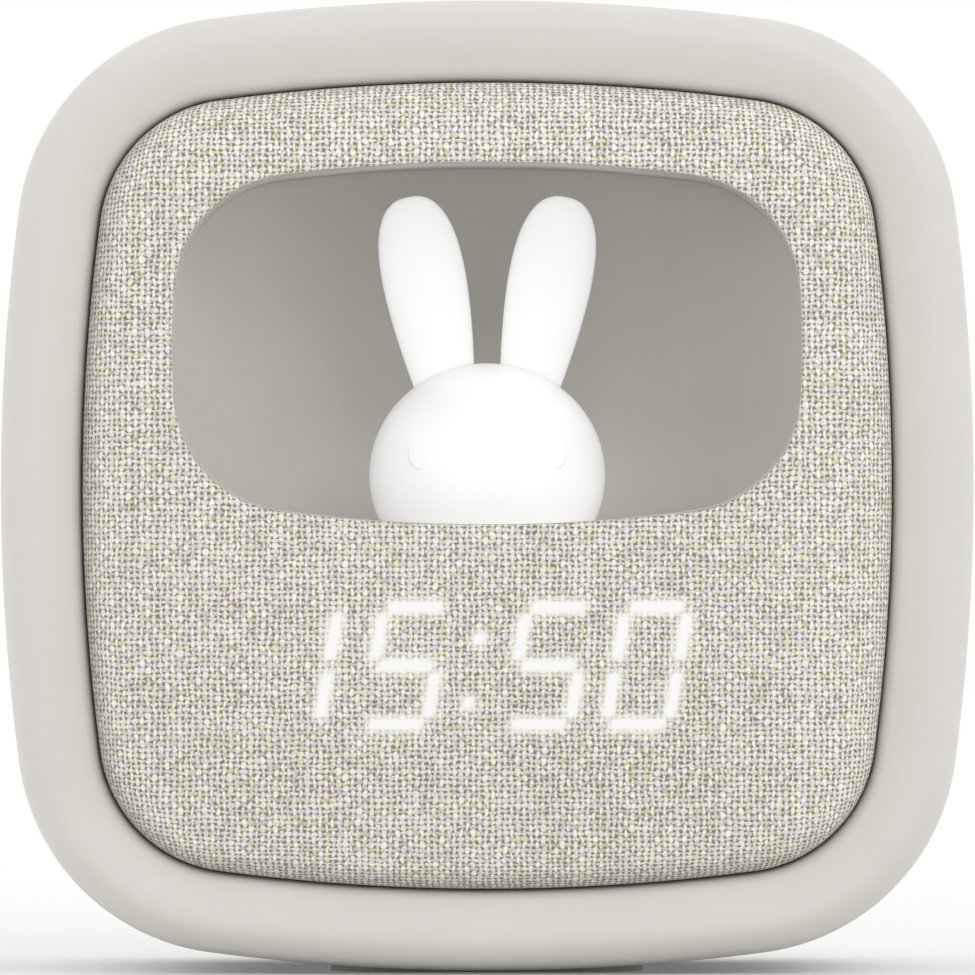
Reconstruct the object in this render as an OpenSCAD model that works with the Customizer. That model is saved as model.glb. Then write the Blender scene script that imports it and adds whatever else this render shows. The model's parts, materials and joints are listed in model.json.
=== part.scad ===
// Bedside alarm clock with a rabbit night light, in millimetres.
// X runs to the right as one faces the clock, the front faces -Y and Z is up.
// The origin is on the table, under the middle of the clock.

/* [Body] */
// Width of the housing at its widest section
body_w = 130; // [124:1:140]
// Height of the housing without the foot pad
body_h = 129.6; // [124:0.2:140]
// Depth from the crest of the bezel to the rear face
body_d = 78; // [74:1:90]
// Radius of the four corners in the front view
corner_r = 29.5; // [27:0.5:33]
// How far the middle of each side swells past its corners
side_bulge = 2.2; // [1.4:0.1:3]
// Wall of the moulded housing
wall_t = 2.2; // [1.8:0.1:2.6]
// Depth of the rounding towards the rear face
rear_round_y = 26; // [22:1:30]
// How far the rear rounding pulls the outline in
rear_round_d = 18; // [16:0.5:19]

/* [Front] */
// Width of the plastic bezel around the fabric
bezel_w = 10.75; // [10:0.25:12]
// Height of the bezel's crest over its inner rim
bezel_rise = 2.2; // [1.4:0.1:3]
// Open groove between the bezel and the fabric
groove_w = 0.3; // [0.3:0.05:0.8]
// Thickness of the stretched fabric
fabric_t = 0.8; // [0.5:0.1:1.2]
// Wall of the moulded carrier behind the fabric
baffle_t = 2; // [1.6:0.1:2.4]
// Swell of the fabric's middle over its edge
crown = 1.6; // [0.8:0.1:2.2]

/* [Alcove] */
// Distance from each side of the housing to the alcove's mouth
mouth_side = 23; // [22:0.5:26]
// Distance from the top of the housing to the top of the mouth
mouth_over = 21.6; // [21:0.1:24]
// How far the mouth reaches below the middle of the housing
mouth_drop = 5.2; // [3:0.1:6]
// Radius of the mouth's two upper corners
mouth_upper_r = 16.4; // [13:0.1:18]
// Radius of the mouth's two lower corners
mouth_lower_r = 16.2; // [13:0.1:18]
// How much the radius of the half-round back wall exceeds half the mouth's width
cove_spare = 0.2; // [0:0.1:0.8]
// Wall of the alcove's liner
liner_t = 1.8; // [1.4:0.1:2.2]

/* [Rabbit] */
// Width of the rabbit's head
head_w = 31.8; // [29:0.2:34]
// Height of the head as a whole ellipsoid
head_h = 30.2; // [28:0.2:32]
// Wall of the translucent head
head_t = 2.2; // [1.8:0.1:2.6]
// Height of each ear over the ear's widest point
ear_tip_h = 11.4; // [10:0.1:12]
// Room between the ears' tips and the ceiling of the alcove
ear_headroom = 4.7; // [3:0.1:8]
// Widest width of an ear
ear_w = 10.9; // [9:0.1:12]
// Lean of each ear away from upright
ear_lean = 11; // [8:0.5:14]

/* [Display] */
// Height of the digits
digit_h = 17.5; // [15:0.1:18.5]
// Width of one digit
digit_w = 10.1; // [9:0.1:10.6]
// Width of one lit bar
bar_w = 1.8; // [1.4:0.1:2.2]
// Gap between the two digits of a pair
digit_gap = 3.55; // [3:0.05:4.5]
// Room between the two pairs of digits, where the colon stands
colon_room = 8.8; // [8:0.1:10]
// Slant of the digits
digit_slant = 10; // [6:0.5:12]

/* [Rear] */
// Diameter of each push button
button_dia = 7; // [6:0.1:7.6]
// Spacing between the push buttons
button_pitch = 10; // [9.6:0.1:11]
// Travel of each push button
button_travel = 0.6; // [0.4:0.05:0.8]
// Travel of the alarm slider
slider_travel = 4; // [3:0.1:4.4]
// Outer diameter of the speaker
speaker_dia = 32; // [28:0.5:33]
// Diameter of one hole of the speaker grille
grille_hole = 1.8; // [1.2:0.1:2]

/* [Foot] */
// Width of the silicone foot pad
foot_w = 42; // [36:1:46]
// Length of the foot pad from front to back
foot_l = 38; // [34:1:42]
// How far the foot pad stands out under the housing
foot_proud = 0.4; // [0.3:0.05:0.8]

/* [Hidden] */
$fn = 48;

plastic = "#D9D5D0";
cloth = "#D1CCC0";
cove_grey = "#ABA7A1";
milk = "#FFFFFF";
board_green = "#2F6B4A";
steel = "#B8BABD";

knob_proud = 1.3;
front_y = -(body_d + knob_proud) / 2;
rear_y = front_y + body_d;
mid_z = foot_proud + body_h / 2;

// The front: ledge under the baffle, inner rim of the bezel and the fabric's edge
shelf_y = front_y + 9.5;
shelf_t = 2.5;
shelf_d = bezel_w + 3.5;
rim_y = front_y + bezel_rise;
crest_d = bezel_w - 6.8;
bezel_round_y = 8;
rim_round_d = 1.8;
edge_round_d = 3.4;
edge_round_y = 2.9;
edge_y = rim_y + edge_round_y;
lip_y = front_y + 5.5;
rim_back_y = front_y + 9;
liner_front_y = lip_y + 0.2;
rim_w = 3.4;

hook_x = 24;
hook_z = 12;

// The rear: recess for the cover and the ledge that it rests on
cover_t = 2.4;
cover_d = rear_round_d + 3.5;
cover_gap = 0.2;
ledge_d = cover_d + 4.5;
ledge_t = 2.2;
seat_y = rear_y - cover_t;
cover_screw_in = 6;
cover_screw_end = 40.8;
boss_r = 4.2;

// The alcove
cove_y = front_y + 5;
mouth_w = body_w - 2 * mouth_side;
mouth_top = body_h / 2 - mouth_over;
mouth_bottom = -mouth_drop;
mouth_h = mouth_top - mouth_bottom;
cove_r = mouth_w / 2 + cove_spare;
floor_z = mid_z + mouth_bottom;

// The lamp under the rabbit
lamp_y = front_y + 25.5;
spigot_r = 10.95;
spigot_t = 2;
collar_bore_r = spigot_r + 0.1;
collar_r = spigot_r + 1.65;
collar_z = floor_z - 6.8;
collar_ear_r = 2.6;
collar_screw_x = 18.4;
lamp_board_z = floor_z - 11.4;
lamp_screw_x = 15;
lamp_screw_y = 6;
board_t = 1.6;

// The rabbit: the ears lean out from the middle of the head and end below the ceiling
head_cut = 6.6;
head_z = floor_z + head_cut;
eye_x = 9.1;
eye_up = 3.3;
ear_root_x = 3.35;
ear_root_y = 0.8;
ear_neck = 1.8;
ear_flatness = 0.62;
ear_base_up = head_h / 2 - 3.7;
ear_tip_up = (mid_z + mouth_top - ear_headroom - head_z) / cos(ear_lean);
ear_wide_up = ear_tip_up - ear_tip_h;
peg_r = 2.2;
peg_in = 7.1;
peg_out = 4.9;

// The display behind the fabric
display_x = -1.4;
display_z = mid_z - 24.2;
digit_near = (digit_w + colon_room) / 2;
digit_far = digit_near + digit_w + digit_gap;
digit_steps = [-digit_far, -digit_near, digit_near, digit_far];
digit_lean = tan(digit_slant);
colon_x = -0.25;
colon_up = 4.3;
colon_low = 0.7;
block_rim = 1;
block_w = 2 * (digit_far + digit_w / 2 + digit_lean * (digit_h - bar_w) / 2 + block_rim);
block_h = digit_h + 6.5;
block_y = front_y + 2.9;
block_t = 7.5;
film_t = 0.3;
display_board_y = block_y + block_t;
ribbon_y = display_board_y + board_t + 2.4;

// The electronics on the rear cover
speaker_gap = 1;
speaker_z = mid_z + body_h / 2 - ledge_d - speaker_dia / 2 - speaker_gap;
pcb_y = rear_y - 12;
pcb_face_y = pcb_y + board_t;
pcb_w = 4 * button_pitch + 12;
pcb_low = foot_proud + 26.8;
pcb_high = mid_z + 1;
button_z = mid_z - 11.2;
low_row_z = foot_proud + 34.1;
usb_x = -10;
slider_x = 12;
tact_w = 6;
tact_t = 3.5;
plunger_top_y = pcb_face_y + 4.5;

// The battery on the floor of the housing
cell_w = 50;
cell_l = 34;
cell_t = 9;
tray_t = 1.6;
tray_z = 7;
tray_y = 2;

foot_y = front_y + 13 + foot_l / 2;

// ---------------------------------------------------------------- outlines

// Middle of the circle of radius r that lies inside circles (a, ra) and (b, rb) and touches both
function inner_touch(a, ra, b, rb, r) =
    let (gap = norm(b - a), u = (b - a) / gap,
         along = (pow(ra - r, 2) - pow(rb - r, 2) + gap * gap) / (2 * gap),
         across = sqrt(pow(ra - r, 2) - along * along),
         left = a + u * along + [-u.y, u.x] * across,
         right = a + u * along - [-u.y, u.x] * across)
    left.x > right.x ? left : right;

function arc(c, r, from, to, n) =
    [for (i = [0:n - 1]) let (t = from + (to - from) * i / n) c + r * [cos(t), sin(t)]];

function heading(from, to) = atan2(to.y - from.y, to.x - from.x);

// A closed outline of ten arcs that run smoothly into each other, mirrored left to right.
// shape = [half width, top, bottom, height of the sides' middle, side radius, top radius,
// bottom radius, upper corner radius, lower corner radius]; d sets the outline in.
function outline(shape, d, n) =
    let (side = [shape[0] - shape[4], shape[3]],
         top = [0, shape[1] - shape[5]],
         base = [0, shape[2] + shape[6]],
         upper = inner_touch(side, shape[4], top, shape[5], shape[7]),
         lower = inner_touch(side, shape[4], base, shape[6], shape[8]),
         half = concat(
             arc(base, shape[6] - d, -90, heading(base, lower), n[0]),
             arc(lower, shape[8] - d, heading(base, lower), heading(side, lower), n[1]),
             arc(side, shape[4] - d, heading(side, lower), heading(side, upper), n[2]),
             arc(upper, shape[7] - d, heading(side, upper), heading(top, upper), n[1]),
             arc(top, shape[5] - d, heading(top, upper), 90, n[0])),
         m = len(half))
    concat(half, [[0, shape[1] - d]], [for (i = [m - 1:-1:1]) [-half[i].x, half[i].y]]);

// Radius of a side's shallow arc, from its half length and the swell past the corner
function shallow_r(half_l) =
    (pow(corner_r + side_bulge, 2) + pow(half_l - corner_r - side_bulge, 2) - pow(corner_r, 2))
    / (2 * side_bulge);

body_shape = [body_w / 2, body_h / 2, -body_h / 2, 0, shallow_r(body_h / 2), shallow_r(body_w / 2),
    shallow_r(body_w / 2), corner_r, corner_r];
mouth_bow_side = 100;
mouth_bow_top = 215;
mouth_bow_base = 220;
mouth_shape = [mouth_w / 2, mouth_top, mouth_bottom, (mouth_top + mouth_bottom) / 2 - 0.1,
    mouth_bow_side, mouth_bow_top, mouth_bow_base, mouth_upper_r, mouth_lower_r];
body_n = [3, 6, 6];
mouth_n = [4, 6, 6];

function ring(d, y, s = 1) = [for (p = outline(body_shape, d, body_n)) [s * p.x, y, s * p.y + mid_z]];

function corner_spot(shape, upper, out) =
    let (side = [shape[0] - shape[4], shape[3]],
         cap = upper ? [0, shape[1] - shape[5]] : [0, shape[2] + shape[6]],
         r = upper ? shape[7] : shape[8],
         c = inner_touch(side, shape[4], cap, upper ? shape[5] : shape[6], r))
    c + (r + out) * [cos(45), (upper ? 1 : -1) * sin(45)];

// ------------------------------------------------------------- shape makers

// Skin over a list of equal rings; the ends are capped, or the last ring runs into the first
module loft(rings, loop = false) {
    n = len(rings[0]);
    m = len(rings);
    last = loop ? m - 1 : m - 2;
    skin = [for (i = [0:last], j = [0:n - 1], k = [0, 1])
        let (a = i * n + j, b = i * n + (j + 1) % n,
             c = ((i + 1) % m) * n + (j + 1) % n, e = ((i + 1) % m) * n + j)
        k == 0 ? [a, b, c] : [a, c, e]];
    caps = loop ? [] : [[for (j = [n - 1:-1:0]) j], [for (j = [0:n - 1]) (m - 1) * n + j]];
    polyhedron([for (r = rings, p = r) p], concat(skin, caps), convexity = 8);
}

// A flat outline in X and Z, pushed along Y between two planes
module slab(points, y0, y1) {
    translate([0, y1, 0]) rotate([90, 0, 0]) linear_extrude(y1 - y0) polygon(points);
}

module body_slab(d, y0, y1) {
    translate([0, 0, mid_z]) slab(outline(body_shape, d, body_n), y0, y1);
}

module mouth_slab(d, y0, y1) {
    translate([0, 0, mid_z]) slab(outline(mouth_shape, d, mouth_n), y0, y1);
}

// A round bar along Y
module rod_y(x, z, r, y0, y1) {
    translate([x, y1, z]) rotate([90, 0, 0]) cylinder(r = r, h = y1 - y0);
}

module rod_z(x, y, r, z0, z1) {
    translate([x, y, z0]) cylinder(r = r, h = z1 - z0);
}

module block(x0, x1, y0, y1, z0, z1) {
    translate([x0, y0, z0]) cube([x1 - x0, y1 - y0, z1 - z0]);
}

// A box with rounded upright edges
module round_block(w, l, h, r) {
    linear_extrude(h) polygon([for (q = [0:3], i = [0:6])
        let (t = 90 * q + 15 * i, sx = (q == 0 || q == 3) ? 1 : -1, sy = q < 2 ? 1 : -1)
        [sx * (w / 2 - r) + r * cos(t), sy * (l / 2 - r) + r * sin(t)]]);
}

// A screw along +Z with its head below the origin, and a blind cross-shaped drive
module screw(shank_r, shank_l, head_r, head_h) {
    difference() {
        union() {
            translate([0, 0, -head_h]) cylinder(r = head_r, h = head_h);
            cylinder(r = shank_r, h = shank_l);
        }
        for (a = [0, 90]) rotate(a)
            block(-head_r * 0.6, head_r * 0.6, -0.25, 0.25, -head_h - 1, -head_h * 0.45);
    }
}

// A round lead swept along its route, eight sides
module lead(route, r) {
    n = len(route);
    loft([for (i = [0:n - 1])
        let (a = route[max(i - 1, 0)], b = route[min(i + 1, n - 1)], t = (b - a) / norm(b - a),
             ref = abs(t.x) > 0.9 ? [0, 1, 0] : [1, 0, 0],
             u = cross(t, ref) / norm(cross(t, ref)), v = cross(t, u))
        [for (k = [0:7]) route[i] + r * (cos(45 * k) * v + sin(45 * k) * u)]]);
}

// ---------------------------------------------------------------- housing

// Section of the housing as [y, inset] pairs, from the ledge round the outside and back inside
function housing_section() =
    let (flank_y = rear_y - rear_round_y, in_y = rear_round_y - wall_t, in_d = rear_round_d - wall_t,
         stop = asin((rear_round_y - cover_t - ledge_t) / in_y))
    concat(
        [[shelf_y, bezel_w], [rim_y + 2.4, bezel_w], [rim_y + 1.2, bezel_w - 0.3],
         [rim_y + 0.4, bezel_w - rim_round_d / 2], [rim_y, bezel_w - rim_round_d]],
        [for (s = [0.35, 0.65, 0.85]) [rim_y - bezel_rise * (1 - pow(1 - s, 1.7)),
            bezel_w - rim_round_d - (bezel_w - rim_round_d - crest_d) * s]],
        [for (t = [0:15:90]) [front_y + bezel_round_y * (1 - cos(t)), crest_d * (1 - sin(t))]],
        [for (t = [0:15:90]) [flank_y + rear_round_y * sin(t), rear_round_d * (1 - cos(t))]],
        [[rear_y, cover_d], [seat_y, cover_d], [seat_y, ledge_d], [seat_y - ledge_t, ledge_d]],
        [for (i = [4:-1:0]) let (t = stop * i / 4) [flank_y + in_y * sin(t), rear_round_d - in_d * cos(t)]],
        [[front_y + bezel_round_y, wall_t], [rim_y + 2.3, wall_t + 1.4], [rim_y + 1.6, wall_t + 3.2],
         [rim_y + 2.4, bezel_w - 2.4], [rim_y + 4, bezel_w - 2]],
        [[shelf_y + shelf_t, bezel_w - 2], [shelf_y + shelf_t, shelf_d], [shelf_y, shelf_d]]);

module at_cover_screws() {
    for (x = [-1, 1], z = [-1, 1])
        translate([x * cover_screw_spot().x, 0, mid_z + z * cover_screw_spot().y]) children();
}

function cover_screw_spot() = [body_w / 2 - cover_d - cover_screw_in, body_h / 2 - cover_screw_end];

module at_tray_posts() {
    for (x = [-1, 1], y = [-1, 1]) translate([x * (cell_w / 2 + 3.2), tray_y + y * 13, 0]) children();
}

// Block from the table up into the pocket in the housing's floor
module foot_block(extra, low) {
    translate([0, foot_y, low])
        round_block(foot_w + 2 * extra, foot_l + 2 * extra, foot_proud + 1 - low, 8 + extra);
}

module housing() {
    color(plastic) difference() {
        union() {
            loft([for (s = housing_section()) ring(s[1], s[0])], loop = true);
            at_cover_screws() rod_y(0, 0, boss_r, seat_y - 11, seat_y);
            // Posts for the battery tray, rooted in the floor
            at_tray_posts() rod_z(0, 0, 3, foot_proud + 2.1, tray_z);
            // Local floor pad behind the foot pad's pocket
            translate([0, foot_y, foot_proud + 1.4]) round_block(foot_w - 4, foot_l - 2, 1.6, 6);
        }
        at_cover_screws() rod_y(0, 0, 1.1, seat_y - 9, seat_y + 1);
        at_tray_posts() rod_z(0, 0, 1, tray_z - 3.2, tray_z + 1);
        foot_block(0.1, -1);
    }
}

module foot_pad() {
    color("#C4C0BB") foot_block(0, 0);
}

// ------------------------------------------------------------------- front

// The swollen front as a solid: e sets its skin in, back is its flat rear plane
module pillow(e, back) {
    d0 = bezel_w + groove_w;
    cap = [for (s = [0.12, 0.4, 0.65, 0.85])
        ring(d0 + edge_round_d, edge_y - edge_round_y + e - crown * (1 - s * s), s)];
    turn = [for (t = [90, 72, 54, 36, 18, 0])
        ring(d0 + edge_round_d - (edge_round_d - e) * cos(t), edge_y - (edge_round_y - e) * sin(t))];
    loft(concat(cap, turn, [ring(d0 + e, back)]));
}

module fabric_cover() {
    color(cloth) difference() {
        pillow(0, shelf_y);
        mouth_slab(0, front_y - 5, rear_y);
        difference() {
            pillow(fabric_t, shelf_y + 1);
            mouth_slab(-fabric_t, front_y - 5, lip_y);
        }
    }
}

function liner_screw_spots() = [for (u = [true, false], x = [-1, 1])
    let (p = corner_spot(mouth_shape, u, u ? 3.9 : 5)) [x * p.x, p.y + mid_z]];

function display_screw_spots() = [for (x = [-1, 1], z = [-1, 1])
    [display_x + x * (block_w / 2 + 3.4), display_z + z * (block_h / 2 - 4)]];

// One hook that reaches through the housing's throat and grips behind its ledge
module baffle_hook() {
    block(-3, 3, shelf_y - 5.6, shelf_y + shelf_t + 2.2, 0, 1.5);
    translate([-3, shelf_y + shelf_t + 0.1, 0]) rotate([0, 90, 0])
        linear_extrude(6) polygon([[0, 0], [-3.1, 0], [-3.1, 0.5], [0, 2.1]]);
}

module at_hooks() {
    for (x = [-hook_x, hook_x]) translate([x, 0, mid_z]) {
        translate([0, 0, outline_height(x) - shelf_d - 2]) children();
        mirror([0, 0, 1]) translate([0, 0, outline_height(x) - shelf_d - 2]) children();
    }
    for (a = [90, -90], s = [-1, 1]) translate([0, 0, mid_z + s * hook_z])
        rotate([0, a, 0]) translate([0, 0, body_w / 2 - shelf_d - 2.3]) children();
}

// Half height of the body's outline at a distance x from the middle, along its top arc
function outline_height(x) =
    let (r = shallow_r(body_w / 2)) body_h / 2 - r + sqrt(r * r - x * x);

module front_baffle() {
    color("#8F8C88") difference() {
        union() {
            difference() {
                pillow(fabric_t, shelf_y);
                difference() {
                    pillow(fabric_t + baffle_t, shelf_y + 1);
                    // Tube round the mouth, left standing
                    mouth_slab(-rim_w, front_y - 5, rim_back_y);
                    // Frame round the display, left standing
                    block(display_x - block_w / 2 - 2, display_x + block_w / 2 + 2, front_y, block_y + 5,
                        display_z - block_h / 2 - 2, display_z + block_h / 2 + 2);
                    for (p = liner_screw_spots()) rod_y(p.x, p.y, 2.6, front_y, rim_back_y);
                    for (p = display_screw_spots()) rod_y(p.x, p.y, 2.4, front_y, display_board_y);
                }
            }
            for (p = display_screw_spots()) rod_y(p.x, p.y, 2.4, shelf_y - 1, display_board_y);
            at_hooks() baffle_hook();
        }
        mouth_slab(-fabric_t, front_y - 5, rear_y);
        mouth_slab(-liner_t - 0.2, lip_y, rear_y);
        block(display_x - block_w / 2 - 0.2, display_x + block_w / 2 + 0.2, front_y - 5, shelf_y + 8,
            display_z - block_h / 2 - 0.2, display_z + block_h / 2 + 0.2);
        for (p = liner_screw_spots()) rod_y(p.x, p.y, 0.9, rim_back_y - 4, rim_back_y + 1);
        for (p = display_screw_spots()) rod_y(p.x, p.y, 0.9, display_board_y - 5, display_board_y + 1);
    }
}

// ------------------------------------------------------------------ alcove

module cove(r, z0, z1) {
    rod_z(0, cove_y, r, z0, z1);
}

module alcove_liner() {
    low = floor_z - mouth_h;
    high = floor_z + 2 * mouth_h;
    color(cove_grey) difference() {
        union() {
            intersection() {
                mouth_slab(-liner_t, liner_front_y, cove_y + cove_r + 6);
                cove(cove_r + liner_t, low, high);
            }
            // Flange with four ears, screwed to the baffle
            mouth_slab(-rim_w, rim_back_y, rim_back_y + liner_t);
            for (p = liner_screw_spots()) rod_y(p.x, p.y, 2.9, rim_back_y, rim_back_y + liner_t);
            // Posts for the lamp's collar
            for (x = [-1, 1]) rod_z(collar_screw_x * x, lamp_y, collar_ear_r, collar_z + liner_t, floor_z);
        }
        intersection() {
            mouth_slab(0, liner_front_y - 1, cove_y + cove_r + 6);
            cove(cove_r, low, high);
        }
        rod_z(0, lamp_y, collar_bore_r, floor_z - 5, floor_z + 5);
        for (x = [-1, 1]) rod_z(collar_screw_x * x, lamp_y, 0.9, collar_z, floor_z - 1);
        for (p = liner_screw_spots()) rod_y(p.x, p.y, 1.3, rim_back_y - 1, rim_back_y + 3);
    }
}

// ------------------------------------------------------------------ rabbit

// The head's ellipsoid as a turned profile, t is added all round
module head_form(t) {
    rx = head_w / 2 + t;
    rz = head_h / 2 + t;
    translate([0, lamp_y, head_z]) rotate_extrude($fn = 64)
        polygon([for (a = [-90:6:90]) [max(rx * cos(a), 0), rz * sin(a)]]);
}

// Half width of an ear, where f is -1 at its base, 0 at its widest and 1 at its tip
function ear_half(f) = f > 0
    ? ear_w / 2 * pow(1 - pow(f, 2.5), 0.4)
    : ear_w / 2 - ear_neck * pow(-f, 1.6);

function ear_up(f) = f > 0 ? ear_wide_up + ear_tip_h * f : ear_wide_up + (ear_wide_up - ear_base_up) * f;

module at_ear(side) {
    translate([side * ear_root_x, lamp_y + ear_root_y, head_z]) rotate([0, side * ear_lean, 0]) children();
}

module ear_form() {
    loft([for (f = [-1, -0.8, -0.6, -0.4, -0.2, 0, 0.22, 0.42, 0.62, 0.76, 0.87, 0.95, 0.99])
        [for (t = [0:18:342]) [ear_half(f) * cos(t), -ear_flatness * ear_half(f) * sin(t), ear_up(f)]]]);
}

module rabbit_ear(side) {
    color(milk) union() {
        difference() {
            at_ear(side) ear_form();
            head_form(0.02);
        }
        at_ear(side) rod_z(0, 0, peg_r, head_h / 2 - peg_in, head_h / 2 + peg_out);
    }
}

module rabbit_head() {
    color(milk) difference() {
        union() {
            // The base of the head follows the gently curved floor of the alcove
            intersection() {
                head_form(0);
                mouth_slab(0.01, lamp_y - head_w, lamp_y + head_w);
            }
            // Raised oval eyes
            intersection() {
                head_form(0.25);
                for (x = [-1, 1]) translate([eye_x * x, 0, head_z + eye_up]) slab(
                    [for (t = [0:15:345]) [1.65 * cos(t), 2.65 * sin(t)]],
                    lamp_y - head_w, lamp_y - head_w / 4);
            }
            rod_z(0, lamp_y, spigot_r, floor_z - 6, floor_z + 2);
        }
        difference() {
            head_form(-head_t);
            block(-head_w, head_w, lamp_y - head_w, lamp_y + head_w, head_z - head_h, floor_z + 2);
        }
        rod_z(0, lamp_y, spigot_r - spigot_t, floor_z - 8, floor_z + 3);
        for (s = [-1, 1]) at_ear(s) rod_z(0, 0, peg_r + 0.05, head_h / 2 - peg_in - 3, head_h);
    }
}

// -------------------------------------------------------------------- lamp

module at_lamp_screws() {
    for (s = [-1, 1]) translate([s * lamp_screw_x, lamp_y + s * lamp_screw_y, 0]) children();
}

module lamp_collar() {
    color("#F4F2EE") difference() {
        union() {
            rod_z(0, lamp_y, collar_r, lamp_board_z + board_t, floor_z - liner_t - 0.2);
            intersection() {
                rod_z(0, lamp_y, collar_screw_x + collar_ear_r, collar_z, collar_z + liner_t);
                block(-2 * collar_r, 2 * collar_r, lamp_y - collar_r + 1.6, lamp_y + collar_r - 1.6,
                    collar_z - 1, collar_z + 4);
            }
            at_lamp_screws() rod_z(0, 0, 2.4, lamp_board_z + board_t, collar_z + 1);
        }
        rod_z(0, lamp_y, collar_bore_r, lamp_board_z, floor_z);
        at_lamp_screws() rod_z(0, 0, 0.8, lamp_board_z, collar_z);
        for (x = [-1, 1]) rod_z(collar_screw_x * x, lamp_y, 1.2, collar_z - 1, collar_z + 4);
    }
}

module lamp_board() {
    color(board_green) difference() {
        union() {
            rod_z(0, lamp_y, collar_r, lamp_board_z, lamp_board_z + board_t);
            at_lamp_screws() rod_z(0, 0, 2.6, lamp_board_z, lamp_board_z + board_t);
            for (s = [-1, 1]) block(min(0, s * lamp_screw_x), max(0, s * lamp_screw_x),
                lamp_y + s * lamp_screw_y - 2.6, lamp_y + s * lamp_screw_y + 2.6,
                lamp_board_z, lamp_board_z + board_t);
        }
        at_lamp_screws() rod_z(0, 0, 1.1, lamp_board_z - 1, lamp_board_z + 3);
    }
}

module lamp_leds() {
    top = lamp_board_z + board_t;
    color("#F6E7A8") translate([0, lamp_y, top]) {
        block(-1.75, 1.75, -1.4, 1.4, 0, 1.8);
        for (a = [0:60:300]) rotate(a) translate([5.8, 0, 0]) block(-1.4, 1.4, -1.75, 1.75, 0, 1.8);
    }
}

module lamp_screws() {
    color(steel) {
        for (x = [-1, 1]) translate([collar_screw_x * x, lamp_y, collar_z]) screw(0.85, 5, 2, 1.1);
        at_lamp_screws() translate([0, 0, lamp_board_z]) screw(0.75, 4, 1.8, 1);
    }
}

// ----------------------------------------------------------------- display

// Middles of the seven bars of a digit as [x, z, standing]
function bar_spots() =
    let (x = (digit_w - bar_w) / 2, z = (digit_h - bar_w) / 2)
    [[0, z, false], [0, 0, false], [0, -z, false],
     [-x, z / 2, true], [x, z / 2, true], [-x, -z / 2, true], [x, -z / 2, true]];

// All bars of the four digits and the colon, w is the bars' width, pushed along Y
module digit_bars(w, y0, y1) {
    flat_l = digit_w - bar_w - 0.4;
    tall_l = (digit_h - bar_w) / 2 - bar_w + 0.1;
    trim = bar_w - w;
    for (step = digit_steps, b = bar_spots())
        translate([display_x + step + b[0] + b[1] * digit_lean, 0, display_z + b[1]])
            slab(slanted(b[2] ? upright_bar(tall_l - trim, w) : flat_bar(flat_l - trim, w)), y0, y1);
    at_colon() slab(slanted(flat_bar(w, w)), y0, y1);
}

module at_colon() {
    for (s = [-1, 1]) translate([display_x + colon_x + s * colon_up * digit_lean, 0,
        display_z - colon_low + s * colon_up]) children();
}

function flat_bar(l, w) = let (c = w * 0.3)
    [[-l / 2, c - w / 2], [c - l / 2, -w / 2], [l / 2 - c, -w / 2], [l / 2, c - w / 2],
     [l / 2, w / 2 - c], [l / 2 - c, w / 2], [c - l / 2, w / 2], [-l / 2, w / 2 - c]];

function upright_bar(l, w) = [for (p = flat_bar(l, w)) [-p.y, p.x]];

function slanted(points) = [for (p = points) [p.x + p.y * digit_lean, p.y]];

module display_reflector() {
    color("#F2F1EE") difference() {
        block(display_x - block_w / 2, display_x + block_w / 2, block_y, display_board_y,
            display_z - block_h / 2, display_z + block_h / 2);
        digit_bars(bar_w, block_y - 1, display_board_y + 1);
    }
}

module display_segments() {
    color("#FFFFFF") digit_bars(bar_w - 0.04, block_y, block_y + 3);
}

module display_film() {
    color("#DCDAD6") block(display_x - block_w / 2, display_x + block_w / 2, block_y - film_t, block_y,
        display_z - block_h / 2, display_z + block_h / 2);
}

module display_die() {
    block(-0.5, 0.5, display_board_y - 0.6, display_board_y, -0.5, 0.5);
}

module display_leds() {
    color("#F6E7A8") {
        for (step = digit_steps, b = bar_spots())
            translate([display_x + step + b[0] + b[1] * digit_lean, 0, display_z + b[1]]) display_die();
        at_colon() display_die();
    }
}

module display_board() {
    color(board_green) difference() {
        block(display_x - block_w / 2 - 6, display_x + block_w / 2 + 6, display_board_y,
            display_board_y + board_t, display_z - block_h / 2, display_z + block_h / 2);
        for (p = display_screw_spots()) rod_y(p.x, p.y, 1.2, display_board_y - 1, display_board_y + 3);
    }
}

module display_screws() {
    color(steel) for (p = display_screw_spots())
        translate([p.x, display_board_y + board_t, p.y]) rotate([90, 0, 0]) screw(0.85, 6, 2, 1.2);
}

module liner_screws() {
    color(steel) for (p = liner_screw_spots())
        translate([p.x, rim_back_y + liner_t, p.y]) rotate([90, 0, 0]) screw(0.85, 5.4, 2, 1.2);
}

// -------------------------------------------------------------------- rear

function board_screw_spots() =
    [for (x = [-1, 1], z = [pcb_low + 3.5, pcb_high - 3.5]) [x * (pcb_w / 2 - 3.5), z]];

function speaker_screw_spots() = [for (a = [45:90:315])
    [(speaker_dia / 2 + 1.6) * cos(a), speaker_z + (speaker_dia / 2 + 1.6) * sin(a)]];

function button_x(i) = (i - 2) * button_pitch;

speaker_seat_y = seat_y - 2.8;
slot_w = slider_travel + 4.4;

module grille() {
    rod_y(0, speaker_z, grille_hole / 2, seat_y - 1, rear_y + 1);
    for (k = [1:3], i = [0:6 * k - 1]) let (a = 60 * i / k)
        rod_y(3.3 * k * cos(a), speaker_z + 3.3 * k * sin(a), grille_hole / 2, seat_y - 1, rear_y + 1);
}

// A flat oval along Y, w wide and h high
module oval_y(x, z, w, h, y0, y1) {
    rod_y(x - (w - h) / 2, z, h / 2, y0, y1);
    rod_y(x + (w - h) / 2, z, h / 2, y0, y1);
    block(x - (w - h) / 2, x + (w - h) / 2, y0, y1, z - h / 2, z + h / 2);
}

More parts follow.
